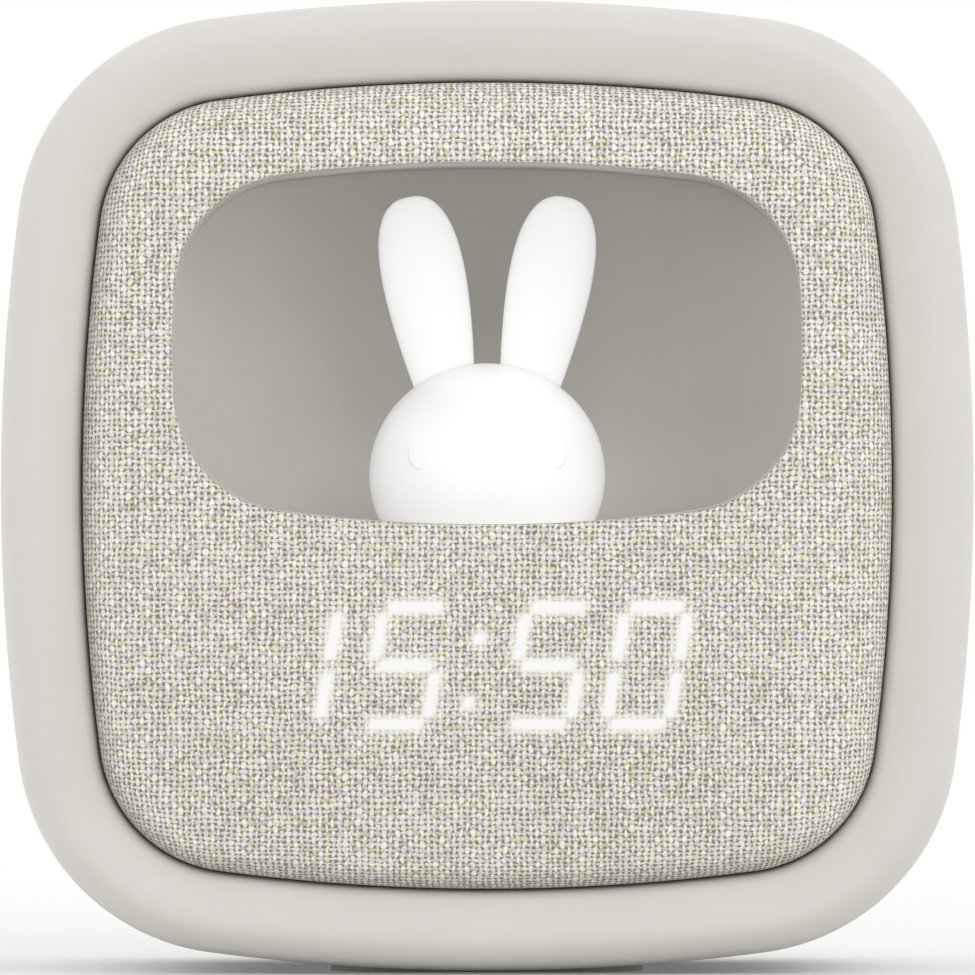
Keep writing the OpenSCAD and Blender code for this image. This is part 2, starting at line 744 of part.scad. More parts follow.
module rear_cover() {
    color(plastic) difference() {
        union() {
            loft([ring(cover_d + cover_gap, seat_y), ring(cover_d + cover_gap, rear_y - 0.5),
                ring(cover_d + cover_gap + 0.5, rear_y)]);
            for (p = board_screw_spots()) rod_y(p.x, p.y, 2.6, pcb_face_y, seat_y + 1);
            for (p = speaker_screw_spots()) rod_y(p.x, p.y, 2.4, speaker_seat_y, seat_y + 1);
            difference() {
                rod_y(0, speaker_z, speaker_dia / 2, speaker_seat_y, seat_y + 1);
                rod_y(0, speaker_z, speaker_dia / 2 - 1.4, speaker_seat_y - 1, seat_y);
            }
            // Guide walls beside the alarm slider
            for (s = [-1, 1]) translate([slider_x, 0, low_row_z + s * 3.9])
                block(-slot_w / 2 - 3, slot_w / 2 + 3, seat_y - 1.6, seat_y + 1, -0.6, 0.6);
        }
        at_cover_screws() {
            rod_y(0, 0, 1.5, seat_y - 1, rear_y + 1);
            rod_y(0, 0, 2.8, rear_y - 1.2, rear_y + 1);
        }
        for (p = board_screw_spots()) rod_y(p.x, p.y, 0.9, pcb_face_y - 1, seat_y - 1);
        for (p = speaker_screw_spots()) rod_y(p.x, p.y, 0.8, speaker_seat_y - 1, seat_y + 0.6);
        grille();
        for (i = [0:4]) rod_y(button_x(i), button_z, button_dia / 2 + 0.1, seat_y - 1, rear_y + 1);
        oval_y(usb_x, low_row_z, 9.6, 3.8, seat_y - 1, rear_y + 1);
        block(slider_x - slot_w / 2, slider_x + slot_w / 2, seat_y - 1, rear_y + 1,
            low_row_z - 1.6, low_row_z + 1.6);
    }
}

module rear_cover_screws() {
    color(steel) at_cover_screws() translate([0, rear_y - 1.2, 0]) rotate([90, 0, 0]) screw(1, 8.5, 2.5, 1.1);
}

// A push button: a chamfered head in the cover, a flange behind it and a stem to the switch
module push_button(i) {
    r = button_dia / 2;
    color("#CFCBC6") translate([button_x(i), 0, button_z]) rotate([-90, 0, 0]) rotate_extrude()
        polygon([[0, plunger_top_y], [1.5, plunger_top_y], [1.5, seat_y - 1.4], [r + 0.8, seat_y - 1.4],
            [r + 0.8, seat_y - 0.1], [r, seat_y - 0.1], [r, rear_y + 0.4], [r - 0.4, rear_y + 0.8],
            [0, rear_y + 0.8]]);
}

module plunger(i) {
    color("#3A3A3C") rod_y(button_x(i), button_z, 1.7, plunger_top_y - 3.1, plunger_top_y);
}

module tact_switches() {
    color("#4A4A4D") for (i = [0:4]) difference() {
        translate([button_x(i), 0, button_z]) block(-tact_w / 2, tact_w / 2, pcb_face_y,
            pcb_face_y + tact_t, -tact_w / 2, tact_w / 2);
        rod_y(button_x(i), button_z, 1.78, plunger_top_y - 3.1 - button_travel - 0.1, rear_y);
    }
}

module alarm_switch() {
    color("#4A4A4D") translate([slider_x, 0, low_row_z]) difference() {
        block(-5.5, 5.5, pcb_face_y, pcb_face_y + 3.6, -2.2, 2.2);
        block(-slider_travel / 2 - 1.1, slider_travel / 2 + 1.1, pcb_face_y + 1.4, rear_y, -0.9, 0.9);
    }
}

// The slider rests at the left end of its slot: knob, retaining flange and driving stem in one
module alarm_slider() {
    x = slider_x - slider_travel / 2;
    color("#CFCBC6") {
        block(x - 2.1, x + 2.1, seat_y - 0.1, rear_y + knob_proud - 0.3, low_row_z - 1.5, low_row_z + 1.5);
        block(x - 4, x + 4, seat_y - 1.4, seat_y - 0.1, low_row_z - 3.1, low_row_z + 3.1);
        block(x - 0.9, x + 0.9, pcb_face_y + 1.8, seat_y - 1.4, low_row_z - 0.8, low_row_z + 0.8);
        for (s = [-0.9, 0.9]) block(x + s - 0.3, x + s + 0.3, rear_y + knob_proud - 0.3, rear_y + knob_proud,
            low_row_z - 1.5, low_row_z + 1.5);
    }
}

module usb_socket() {
    color(steel) difference() {
        oval_y(usb_x, low_row_z, 9, 3.2, pcb_face_y, rear_y - 0.6);
        oval_y(usb_x, low_row_z, 8.4, 2.6, pcb_face_y + 1.2, rear_y);
    }
}

module usb_tongue() {
    color("#2C2C2E") block(usb_x - 3.3, usb_x + 3.3, pcb_face_y + 1.2, rear_y - 1.6,
        low_row_z - 0.35, low_row_z + 0.35);
}

module main_board() {
    color(board_green) difference() {
        block(-pcb_w / 2, pcb_w / 2, pcb_y, pcb_face_y, pcb_low, pcb_high);
        for (p = board_screw_spots()) rod_y(p.x, p.y, 1.2, pcb_y - 1, pcb_face_y + 1);
    }
}

module board_screws() {
    color(steel) for (p = board_screw_spots())
        translate([p.x, pcb_y, p.y]) rotate([-90, 0, 0]) screw(0.85, 6, 2, 1.2);
}

module board_chips() {
    color("#2C2C2E") {
        block(-5, 5, pcb_y - 1.2, pcb_y, pcb_high - 23, pcb_high - 13);
        block(10, 15, pcb_y - 1, pcb_y, pcb_high - 19, pcb_high - 13);
        block(-20, -16, pcb_y - 1, pcb_y, pcb_low + 4, pcb_low + 8);
    }
}

plug_y = pcb_y - 3;
plug_h = 3.5;
battery_plug_x = 15;
battery_plug_z = pcb_low + 4;
speaker_plug_x = 5.5;
speaker_plug_z = pcb_high - 6.5;
lamp_plug_x = -13;
lamp_plug_z = pcb_high - 18;
ribbon_w = 11;
ribbon_x = -14;
ribbon_plug_z = pcb_low + 11.5;
ribbon_start_z = display_z - 5.8;
ribbon_plug_h = 3;

// Sockets for the leads, on the front of the main board and on the display and lamp boards
module board_connectors() {
    color("#F0EEE6") {
        for (p = [[battery_plug_x, battery_plug_z], [speaker_plug_x, speaker_plug_z],
            [lamp_plug_x, lamp_plug_z]]) block(p.x - 4, p.x + 4, plug_y, pcb_y, p.y, p.y + plug_h);
        block(ribbon_x - ribbon_w / 2 - 1.5, ribbon_x + ribbon_w / 2 + 1.5, plug_y, pcb_y,
            ribbon_plug_z, ribbon_plug_z + ribbon_plug_h);
        block(ribbon_x - ribbon_w / 2 - 1.5, ribbon_x + ribbon_w / 2 + 1.5, display_board_y + board_t,
            ribbon_y, ribbon_start_z, ribbon_start_z + ribbon_plug_h);
        block(-4, 4, lamp_y + 4, lamp_y + 4 + plug_h, lamp_board_z - 3, lamp_board_z);
    }
}

// ----------------------------------------------------------------- speaker

module speaker_frame() {
    r = speaker_dia / 2;
    color("#6C6E70") difference() {
        union() {
            translate([0, 0, speaker_z]) rotate([-90, 0, 0]) rotate_extrude() polygon([
                [8.2, speaker_seat_y - 8.4], [9, speaker_seat_y - 8.4], [r - 1.2, speaker_seat_y - 1.6],
                [r, speaker_seat_y - 1.6], [r, speaker_seat_y], [r - 2.6, speaker_seat_y],
                [r - 2.6, speaker_seat_y - 0.8], [8.2, speaker_seat_y - 7.4]]);
            for (p = speaker_screw_spots()) rod_y(p.x, p.y, 2.4, speaker_seat_y - 1.6, speaker_seat_y);
        }
        for (p = speaker_screw_spots()) rod_y(p.x, p.y, 1.1, speaker_seat_y - 3, speaker_seat_y + 1);
        // Windows in the basket
        for (a = [0:60:300]) translate([0, speaker_seat_y - 5, speaker_z]) rotate([0, a, 0])
            translate([11, 0, 0]) rotate([90, 0, 0]) cylinder(r = 1.6, h = 8, center = true);
    }
}

module speaker_magnet() {
    color("#8E9092") translate([0, 0, speaker_z]) rotate([-90, 0, 0]) rotate_extrude() polygon([
        [0, speaker_seat_y - 14.4], [8.6, speaker_seat_y - 14.4], [9, speaker_seat_y - 14],
        [9, speaker_seat_y - 8.4], [8, speaker_seat_y - 8.4], [8, speaker_seat_y - 7.6],
        [0, speaker_seat_y - 7.6]]);
}

module speaker_cone() {
    r = speaker_dia / 2;
    color("#3B3B3D") translate([0, 0, speaker_z]) rotate([-90, 0, 0]) rotate_extrude() polygon(concat(
        [[0, speaker_seat_y - 3], [3.4, speaker_seat_y - 3.7], [4.4, speaker_seat_y - 4.8],
         [r - 5, speaker_seat_y - 1]],
        [for (t = [150:-30:30]) [r - 4 + 1 * cos(t), speaker_seat_y - 1 + 1 * sin(t)]],
        [[r - 2.8, speaker_seat_y - 0.4], [r - 2.8, speaker_seat_y - 0.75], [r - 4, speaker_seat_y - 0.75],
         [r - 5, speaker_seat_y - 1.5], [4.5, speaker_seat_y - 5.6], [0, speaker_seat_y - 5.6]]));
}

module speaker_screws() {
    color(steel) for (p = speaker_screw_spots())
        translate([p.x, speaker_seat_y - 1.6, p.y]) rotate([-90, 0, 0]) screw(0.75, 4.2, 1.9, 1);
}

// ----------------------------------------------------------------- battery

module battery_tray() {
    color("#8F8C88") difference() {
        union() {
            translate([0, tray_y, tray_z]) round_block(cell_w + 12, cell_l + 4, tray_t, 4);
            difference() {
                translate([0, tray_y, tray_z]) round_block(cell_w + 2.8, cell_l + 2.8, 6.6, 2);
                translate([0, tray_y, tray_z + tray_t]) round_block(cell_w + 0.2, cell_l + 0.2, 9, 1.4);
            }
        }
        at_tray_posts() rod_z(0, 0, 1.2, tray_z - 1, tray_z + 3);
        // Corner cuts that clear the posts' screws, and a notch for the lead
        at_tray_posts() rod_z(0, 0, 2.4, tray_z + tray_t, tray_z + 9);
        block(10.5, 19.5, tray_y + cell_l / 2 - 1, tray_y + cell_l / 2 + 3, tray_z + tray_t, tray_z + 9);
        for (x = [-14, 0, 14]) translate([x, tray_y, tray_z - 1]) round_block(9, 22, 4, 2);
    }
}

module battery_cell() {
    color("#C9CBCE") translate([0, tray_y, tray_z + tray_t]) round_block(cell_w, cell_l, cell_t, 1.3);
}

module tray_screws() {
    color(steel) at_tray_posts() translate([0, 0, tray_z + tray_t]) rotate([180, 0, 0])
        screw(0.95, 4.2, 2.1, 1.2);
}

// ------------------------------------------------------------------- leads

lead_r = 0.9;
cell_end_y = tray_y + cell_l / 2;
cell_lead_z = tray_z + tray_t + 4.4;
battery_route = [[battery_plug_x, cell_end_y, cell_lead_z], [battery_plug_x, cell_end_y + 1.6, cell_lead_z],
    [battery_plug_x, pcb_y - 4.6, 16], [battery_plug_x, plug_y, 21],
    [battery_plug_x, plug_y + 1.5, battery_plug_z - 3], [battery_plug_x, plug_y + 1.5, battery_plug_z]];
speaker_route = [[speaker_plug_x, speaker_seat_y - 3, speaker_z - speaker_dia / 2 + 1.5],
    [speaker_plug_x, speaker_seat_y - 4.6, speaker_z - speaker_dia / 2 - 0.6],
    [speaker_plug_x, plug_y + 0.6, pcb_high + 3], [speaker_plug_x, plug_y + 1.5, pcb_high],
    [speaker_plug_x, plug_y + 1.5, speaker_plug_z + plug_h]];
lamp_route = [[0, lamp_y + 4 + plug_h, lamp_board_z - 1.5], [0, lamp_y + 7 + plug_h, lamp_board_z - 1.5],
    [-2, 2, lamp_board_z - 3], [-7, 10, lamp_board_z - 3], [-11, 17, lamp_board_z - 1.5],
    [lamp_plug_x, plug_y - 2, lamp_plug_z + 1.6], [lamp_plug_x, plug_y, lamp_plug_z + 1.6]];

module battery_lead() {
    color("#B03A32") lead(battery_route, lead_r);
}

module speaker_lead() {
    color("#3B3B3D") lead(speaker_route, lead_r);
}

module lamp_lead() {
    color("#E4E0D8") lead(lamp_route, lead_r);
}

// Flat ribbon from the display board back to the main board, under the lamp
module display_ribbon() {
    from_z = ribbon_start_z + ribbon_plug_h / 2;
    to_z = ribbon_plug_z + ribbon_plug_h / 2;
    low_z = from_z - 7.5;
    path = [[ribbon_y, from_z], [ribbon_y + 3, from_z - 0.7], [ribbon_y + 7, from_z - 4.5], [-8, low_z],
        [6, low_z], [14, low_z + 2], [plug_y - 3.4, to_z - 3], [plug_y - 1, to_z - 0.4], [plug_y, to_z]];
    color("#D8D6D0") translate([ribbon_x - ribbon_w / 2, 0, 0]) rotate([90, 0, 90]) linear_extrude(ribbon_w)
        polygon(concat(path, [for (i = [len(path) - 1:-1:0]) path[i] + [0, 0.5]]));
}

housing();
rear_cover();
foot_pad();
front_baffle();
fabric_cover();
alcove_liner();
rabbit_head();
rabbit_ear(-1);  // rabbit_ear_left
rabbit_ear(1);  // rabbit_ear_right
lamp_collar();
lamp_board();
lamp_leds();
display_reflector();
display_segments();
display_film();
display_board();
display_leds();
main_board();
board_chips();
board_connectors();
tact_switches();
push_button(0);  // light_button
plunger(0);  // light_plunger
push_button(1);  // down_button
plunger(1);  // down_plunger
push_button(2);  // clock_button
plunger(2);  // clock_plunger
push_button(3);  // up_button
plunger(3);  // up_plunger
push_button(4);  // alarm_button
plunger(4);  // alarm_plunger
alarm_switch();
alarm_slider();
usb_socket();
usb_tongue();
battery_tray();
battery_cell();
speaker_frame();
speaker_magnet();
speaker_cone();
rear_cover_screws();
board_screws();
display_screws();
liner_screws();
lamp_screws();
speaker_screws();
tray_screws();
battery_lead();
speaker_lead();
lamp_lead();
display_ribbon();
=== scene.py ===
import json
import math

import bmesh
import bpy
import numpy as np
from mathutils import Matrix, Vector

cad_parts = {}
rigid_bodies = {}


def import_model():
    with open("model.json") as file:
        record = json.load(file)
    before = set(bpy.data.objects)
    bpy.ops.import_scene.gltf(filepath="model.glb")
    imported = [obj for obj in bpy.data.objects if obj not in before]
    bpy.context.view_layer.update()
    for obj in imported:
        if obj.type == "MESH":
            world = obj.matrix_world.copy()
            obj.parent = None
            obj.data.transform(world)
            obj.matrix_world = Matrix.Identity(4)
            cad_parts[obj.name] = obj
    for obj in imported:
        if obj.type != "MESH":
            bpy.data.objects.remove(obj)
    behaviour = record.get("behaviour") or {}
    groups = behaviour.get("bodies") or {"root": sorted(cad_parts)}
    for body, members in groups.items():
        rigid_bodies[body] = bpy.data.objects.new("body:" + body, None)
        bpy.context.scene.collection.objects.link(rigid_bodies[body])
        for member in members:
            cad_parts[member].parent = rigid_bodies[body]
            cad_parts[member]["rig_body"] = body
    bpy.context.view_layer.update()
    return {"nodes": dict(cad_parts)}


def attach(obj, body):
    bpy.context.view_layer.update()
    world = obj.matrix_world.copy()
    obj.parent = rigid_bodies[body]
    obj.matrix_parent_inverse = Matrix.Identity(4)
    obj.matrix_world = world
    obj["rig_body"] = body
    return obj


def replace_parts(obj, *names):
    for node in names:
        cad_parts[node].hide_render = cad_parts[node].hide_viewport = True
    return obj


bl_info = {
    "name": "Bedside clock with a rabbit night light",
    "version": (1, 0, 0),
    "blender": (4, 5, 0),
    "location": "3D View > Sidebar > Bedside clock",
    "description": "Dresses the clock's frame: moulded shell, stretched fabric, alcove, rabbit lamp and rear",
    "category": "Object",
}

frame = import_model()

MM = 0.001
ROOT = "clock_body"

# Sizes in millimetres. _Y is a plane along Y or a size along it, _Z a height, _D an inset from the clock's
# outline, _T a wall, _R a radius and _UP a height over the middle of the head or of a row of digits.
FRONT_Y, REAR_Y = -39.65, 38.35
MID_Z = 65.2
HALF_W, HALF_H, CORNER_R, BULGE = 65.0, 64.8, 29.5, 2.2
BEZEL_W, BEZEL_RISE, GROOVE = 10.75, 2.2, 0.3
SHELF_Y, SHELF_T, SHELF_D = FRONT_Y + 9.5, 2.5, BEZEL_W + 3.5
RIM_Y, RIM_D, RIM_ROUND_D, RIM_ROUND_Y = FRONT_Y + BEZEL_RISE, BEZEL_W + 0.26, 2.6, 5.0
CREST_D, BEZEL_ROUND_Y = BEZEL_W - 6.8, 8.0
REAR_ROUND_Y, REAR_ROUND_D, WALL = 26.0, 18.0, 2.2
FLANK_Y = REAR_Y - REAR_ROUND_Y
COVER_D, LEDGE_D, LEDGE_T = 21.5, 26.0, 2.2
SEAT_Y = REAR_Y - 2.4
CLOTH_ROUND_D, CLOTH_ROUND_Y, CROWN = 2.8, 2.1, 1.6
CLOTH_EDGE_Y = RIM_Y + CLOTH_ROUND_Y
LIP_Y = FRONT_Y + 5.5
CLOTH_EDGE_D = BEZEL_W + GROOVE
# The cloth rolls over the mouth's edge with the first radius and is turned in by the second length
CLOTH_TURN, CLOTH_TURN_IN = 0.8, 4.2
# Spacing of the cloth's grid round the mouth and the digits and elsewhere, and how far the cloth is stretched
FINE, COARSE, STRETCH = 0.42, 1.1, 1.03
# The alcove's visible skin lies inside the liner by SKIN, and by the share DRAWN more at its sides
COVE_Y, COVE_R, SKIN, DRAWN = FRONT_Y + 5, 42.2, 0.04, 0.0035
MOUTH_HALF, MOUTH_TOP, MOUTH_BASE, MOUTH_BASE_R = 42.0, 43.2, -5.2, 220.0
LAMP_Y, FLOOR_Z, HEAD_Z = -14.15, MID_Z + MOUTH_BASE, 66.6
HEAD_RX, HEAD_RZ, HEAD_T = 15.9, 15.1, 2.2
SPIGOT_R, SPIGOT_T = 10.95, 2.0
EYE_X, EYE_UP, EYE_RX, EYE_RZ = 9.1, 3.3, 1.65, 2.65
EAR_ROOT_X, EAR_ROOT_Y, EAR_LEAN, EAR_FLAT = 3.35, 0.8, 11.0, 0.62
EAR_HALF, EAR_NECK, EAR_TIP_H, EAR_BASE_UP = 5.65, 1.75, 11.4, 11.4
EAR_ROOM = 4.25  # between the ears' tips and the mouth's top
EAR_TIP_UP = (MID_Z + MOUTH_TOP - EAR_ROOM - HEAD_Z) / math.cos(math.radians(EAR_LEAN))
DIGIT_X, DIGIT_Z, DIGIT_W, DIGIT_H = -1.4, 41.22, 10.1, 17.35
BAR_W, BAR_R, LEVEL_SHORT, POST_LONG, ONE_X = 1.8, 0.6, 0.9, 0.2, -0.5
DIGIT_STEPS = (-23.35, -9.5, 9.55, 22.7)  # from DIGIT_X to the middle of each digit
DIGIT_LEAN = math.tan(math.radians(9.6))
COLON_X, COLON_UP, COLON_LOW = -0.25, 4.3, 0.7

BUTTONS = ("light", "down", "clock", "up", "alarm")
WHITE = (1.0, 1.0, 1.0)


# ------------------------------------------------------------------ settings


def colour_setting(name, about, default):
    return bpy.props.FloatVectorProperty(name=name, description=about, default=default, subtype="COLOR",
                                         min=0, max=1)


def length_setting(name, about, default, low, high):
    return bpy.props.FloatProperty(name=name, description=about, default=default, unit="LENGTH",
                                   min=low, max=high)


def level_setting(name, about, default, **limits):
    return bpy.props.FloatProperty(name=name, description=about, default=default, min=0, **limits)


class ClockShellSettings(bpy.types.PropertyGroup):
    colour: colour_setting("Shell colour", "Warm light grey of the moulded shell", (0.70, 0.672, 0.637))
    grain: length_setting("Grain", "Size of the fine texture of the mould", 0.00035, 0.0001, 0.002)
    corner: length_setting("Edge radius", "Radius of the edges of the slider", 0.00015, 0.0001, 0.001)


class ClockFabricSettings(bpy.types.PropertyGroup):
    pitch_across: length_setting("Yarn spacing across", "Distance between two upright yarns",
                                 0.00085, 0.0004, 0.003)
    pitch_up: length_setting("Yarn spacing upwards", "Distance between two level yarns",
                             0.00075, 0.0004, 0.003)
    thickness: length_setting("Cloth thickness", "Thickness of the woven cloth", 0.0005, 0.0002, 0.0008)
    cream: colour_setting("Cream yarn", "Colour of most of the yarns", (1.0, 0.968, 0.88))
    # The pore colour is partly painted shade in the hollows between the yarns
    shade: colour_setting("Pore colour", "Colour between the yarns", (0.235, 0.218, 0.172))
    colour_spread: level_setting("Mixed yarns", "How strongly single yarns lean to lilac, green and grey",
                                 1.0, max=1, subtype="FACTOR")


class ClockAlcoveSettings(bpy.types.PropertyGroup):
    colour: colour_setting("Alcove colour", "Smooth warm grey inside the alcove", (0.68, 0.655, 0.615))
    edge: length_setting("Ceiling edge", "Radius between the ceiling and the half-round wall",
                         0.0006, 0.0001, 0.002)


class ClockRabbitSettings(bpy.types.PropertyGroup):
    colour: colour_setting("Shade colour", "Milky white of the translucent rabbit", (0.36, 0.36, 0.357))
    light: level_setting("Night light", "Brightness of the lit rabbit", 0.68, max=3)
    eye_height: length_setting("Eye height", "How far the oval eyes stand out of the head",
                               0.0003, 0.0001, 0.001)


class ClockDisplaySettings(bpy.types.PropertyGroup):
    light: level_setting("Digits' light", "Brightness of the digits behind the cloth", 0.46, max=3)
    spread: length_setting("Light spread", "Width over which a lit bar fades out in the cloth",
                           0.0007, 0.0001, 0.003)


class ClockStageSettings(bpy.types.PropertyGroup):
    floor: colour_setting("Floor colour", "Pale floor under the clock", (0.89, 0.89, 0.885))
    key: level_setting("Key lamp", "Power of the lamp at the upper right", 5.9)
    room: level_setting("Room light", "Strength of the even light on the camera's side", 0.80)
    backdrop: level_setting("Backdrop light", "Strength of the light from the pale backdrop", 1.08)


# ------------------------------------------------------------------ outlines


def arc(mid, radii, turns):
    """Points of an ellipse at turns in degrees."""
    return [(mid[0] + radii[0] * math.cos(t), mid[1] + radii[1] * math.sin(t)) for t in np.radians(turns)]


def inner_touch(a, ra, b, rb, r):
    """Middle of the circle of radius r that lies inside two circles and touches both."""
    gap = math.dist(a, b)
    ux, uz = (b[0] - a[0]) / gap, (b[1] - a[1]) / gap
    along = ((ra - r) ** 2 - (rb - r) ** 2 + gap * gap) / (2 * gap)
    across = math.sqrt((ra - r) ** 2 - along * along)
    left = (a[0] + ux * along - uz * across, a[1] + uz * along + ux * across)
    right = (a[0] + ux * along + uz * across, a[1] + uz * along - ux * across)
    return max(left, right)


def heading(a, b):
    return math.degrees(math.atan2(b[1] - a[1], b[0] - a[0]))


class Outline:
    """A closed outline of ten arcs that run smoothly into each other, the same left and right."""

    def __init__(self, half_w, top_z, base_z, side_z, side_r, top_r, base_r, upper_r, lower_r):
        side, top, base = (half_w - side_r, side_z), (0, top_z - top_r), (0, base_z + base_r)
        upper = inner_touch(side, side_r, top, top_r, upper_r)
        lower = inner_touch(side, side_r, base, base_r, lower_r)
        turns = [-90, heading(base, lower), heading(side, lower), heading(side, upper),
                 heading(top, upper), 90]
        right = [(c, r, turns[i], turns[i + 1]) for i, (c, r) in enumerate(
            [(base, base_r), (lower, lower_r), (side, side_r), (upper, upper_r), (top, top_r)])]
        left = [((-c[0], c[1]), r, 180 - b, 180 - a) for c, r, a, b in reversed(right)]
        self.arcs = right + left

    def ring(self, inset=0.0, counts=(14, 24, 22)):
        """Points of the outline, set in, in turn from the middle of the base."""
        points = []
        for i, (c, r, a, b) in enumerate(self.arcs):
            count = counts[(0, 1, 2, 1, 0)[i % 5]]
            points += arc(c, (r - inset, r - inset), np.linspace(a, b, count, endpoint=False))
        return points

    def reach(self, angle, inset=0.0):
        """Distance from the middle to the outline, set in, in each direction."""
        ring = np.array(self.ring(inset, (60, 120, 80)))
        turn = np.degrees(np.arctan2(ring[:, 1], ring[:, 0]))
        order = np.argsort(turn)
        return np.interp(angle, turn[order], np.hypot(*ring[order].T), period=360)

    def nearest(self, x, z):
        """Inset of each point and the outward direction there."""
        x, z = np.asarray(x, float), np.asarray(z, float)
        inset = np.full(x.shape, 1e9)
        out = np.zeros(x.shape + (2,))
        for c, r, a, b in self.arcs:
            turn = (np.degrees(np.arctan2(z - c[1], x - c[0])) - a) % 360
            far = np.hypot(x - c[0], z - c[1])
            hit = ((turn <= b - a + 0.01) | (turn > 359.99)) & (r - far < inset)
            inset[hit] = (r - far)[hit]
            out[hit] = np.stack([(x - c[0]) / far, (z - c[1]) / far], -1)[hit]
        return inset, out


def shallow_r(half):
    """Radius of a side's shallow arc, from its half length and its swell past the corners."""
    return ((CORNER_R + BULGE) ** 2 + (half - CORNER_R - BULGE) ** 2 - CORNER_R ** 2) / (2 * BULGE)


BODY = Outline(HALF_W, HALF_H, -HALF_H, 0, shallow_r(HALF_H), shallow_r(HALF_W), shallow_r(HALF_W),
               CORNER_R, CORNER_R)
MOUTH = Outline(MOUTH_HALF, MOUTH_TOP, MOUTH_BASE, (MOUTH_TOP + MOUTH_BASE) / 2 - 0.1,
                100, 215, MOUTH_BASE_R, 16.4, 16.2)


# ------------------------------------------------------------------ mesh help


def pull_ring(bm, ring, places):
    """Extrudes a closed ring of vertices and sets the new ones on their places."""
    old = set(ring)
    edges = list(dict.fromkeys(e for v in ring for e in v.link_edges if e.other_vert(v) in old))
    made = bmesh.ops.extrude_edge_only(bm, edges=edges)["geom"]
    fresh = {v for v in made if isinstance(v, bmesh.types.BMVert)}
    new = [next(e.other_vert(v) for e in v.link_edges if e.other_vert(v) in fresh) for v in ring]
    for v, place in zip(new, places):
        v.co = place
    return new


def ring_of(bm, places):
    ring = bmesh.ops.create_circle(bm, segments=len(places), radius=1.0)["verts"]
    for v, place in zip(ring, places):
        v.co = place
    return ring


def edges_between(bm, ring, faces):
    """Edges between two vertices of the ring that have so many faces."""
    ring = set(ring)
    return [e for e in bm.edges if len(e.link_faces) == faces and ring.issuperset(e.verts)]


def unit(value):
    """Limits a number to 0 to 1."""
    return min(1.0, max(0.0, value))


def face_front(bm, pick):
    """Turns the faces of an open sheet so that its foremost (min) or rearmost (max) face looks forward."""
    bmesh.ops.recalc_face_normals(bm, faces=bm.faces)
    if pick(bm.faces, key=lambda f: f.calc_center_median().y).normal.y > 0:
        bmesh.ops.reverse_faces(bm, faces=bm.faces)


def round_edges(bm, edges, radius, segments):
    bmesh.ops.bevel(bm, geom=edges, offset=radius, offset_type="OFFSET", affect="EDGES",
                    segments=segments, profile=0.5, material=-1, clamp_overlap=True)


def mark_creases(bm, angle):
    for f in bm.faces:
        f.smooth = True
    for e in bm.edges:
        e.smooth = len(e.link_faces) != 2 or e.calc_face_angle(0.0) < math.radians(angle)


def make_piece(bm, name, material, body=ROOT):
    """Makes the piece's object from its mesh in millimetres and lets it ride on its body."""
    bmesh.ops.scale(bm, vec=(MM, MM, MM), verts=bm.verts)
    mesh = bpy.data.meshes.new(name)
    bm.to_mesh(mesh)
    bm.free()
    piece = bpy.data.objects.new(name, mesh)
    bpy.context.scene.collection.objects.link(piece)
    mesh.materials.append(material)
    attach(piece, body)
    return piece


def dress(material, *nodes):
    """Gives parts of the frame their finish."""
    for node in nodes:
        part = frame["nodes"][node]
        part.data.materials.clear()
        part.data.materials.append(material)


def smooth_copy(node, name, material, corner=0.0):
    """A welded copy of a part whose round faces are shaded smooth; it stands for the part."""
    bm = bmesh.new()
    bm.from_mesh(frame["nodes"][node].data)
    bmesh.ops.remove_doubles(bm, verts=bm.verts, dist=1e-6)
    bmesh.ops.dissolve_degenerate(bm, edges=bm.edges, dist=1e-6)
    bmesh.ops.dissolve_limit(bm, angle_limit=math.radians(0.5), use_dissolve_boundaries=False,
                             verts=bm.verts, edges=bm.edges)
    if corner:
        sharp = [e for e in bm.edges if len(e.link_faces) == 2 and e.is_convex
                 and e.calc_face_angle(0.0) > math.radians(50)]
        round_edges(bm, sharp, corner, 2)
    bmesh.ops.scale(bm, vec=(1 / MM, 1 / MM, 1 / MM), verts=bm.verts)
    mark_creases(bm, 32)
    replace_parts(make_piece(bm, name, material, frame["nodes"][node]["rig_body"]), node)


# ------------------------------------------------------------------ materials


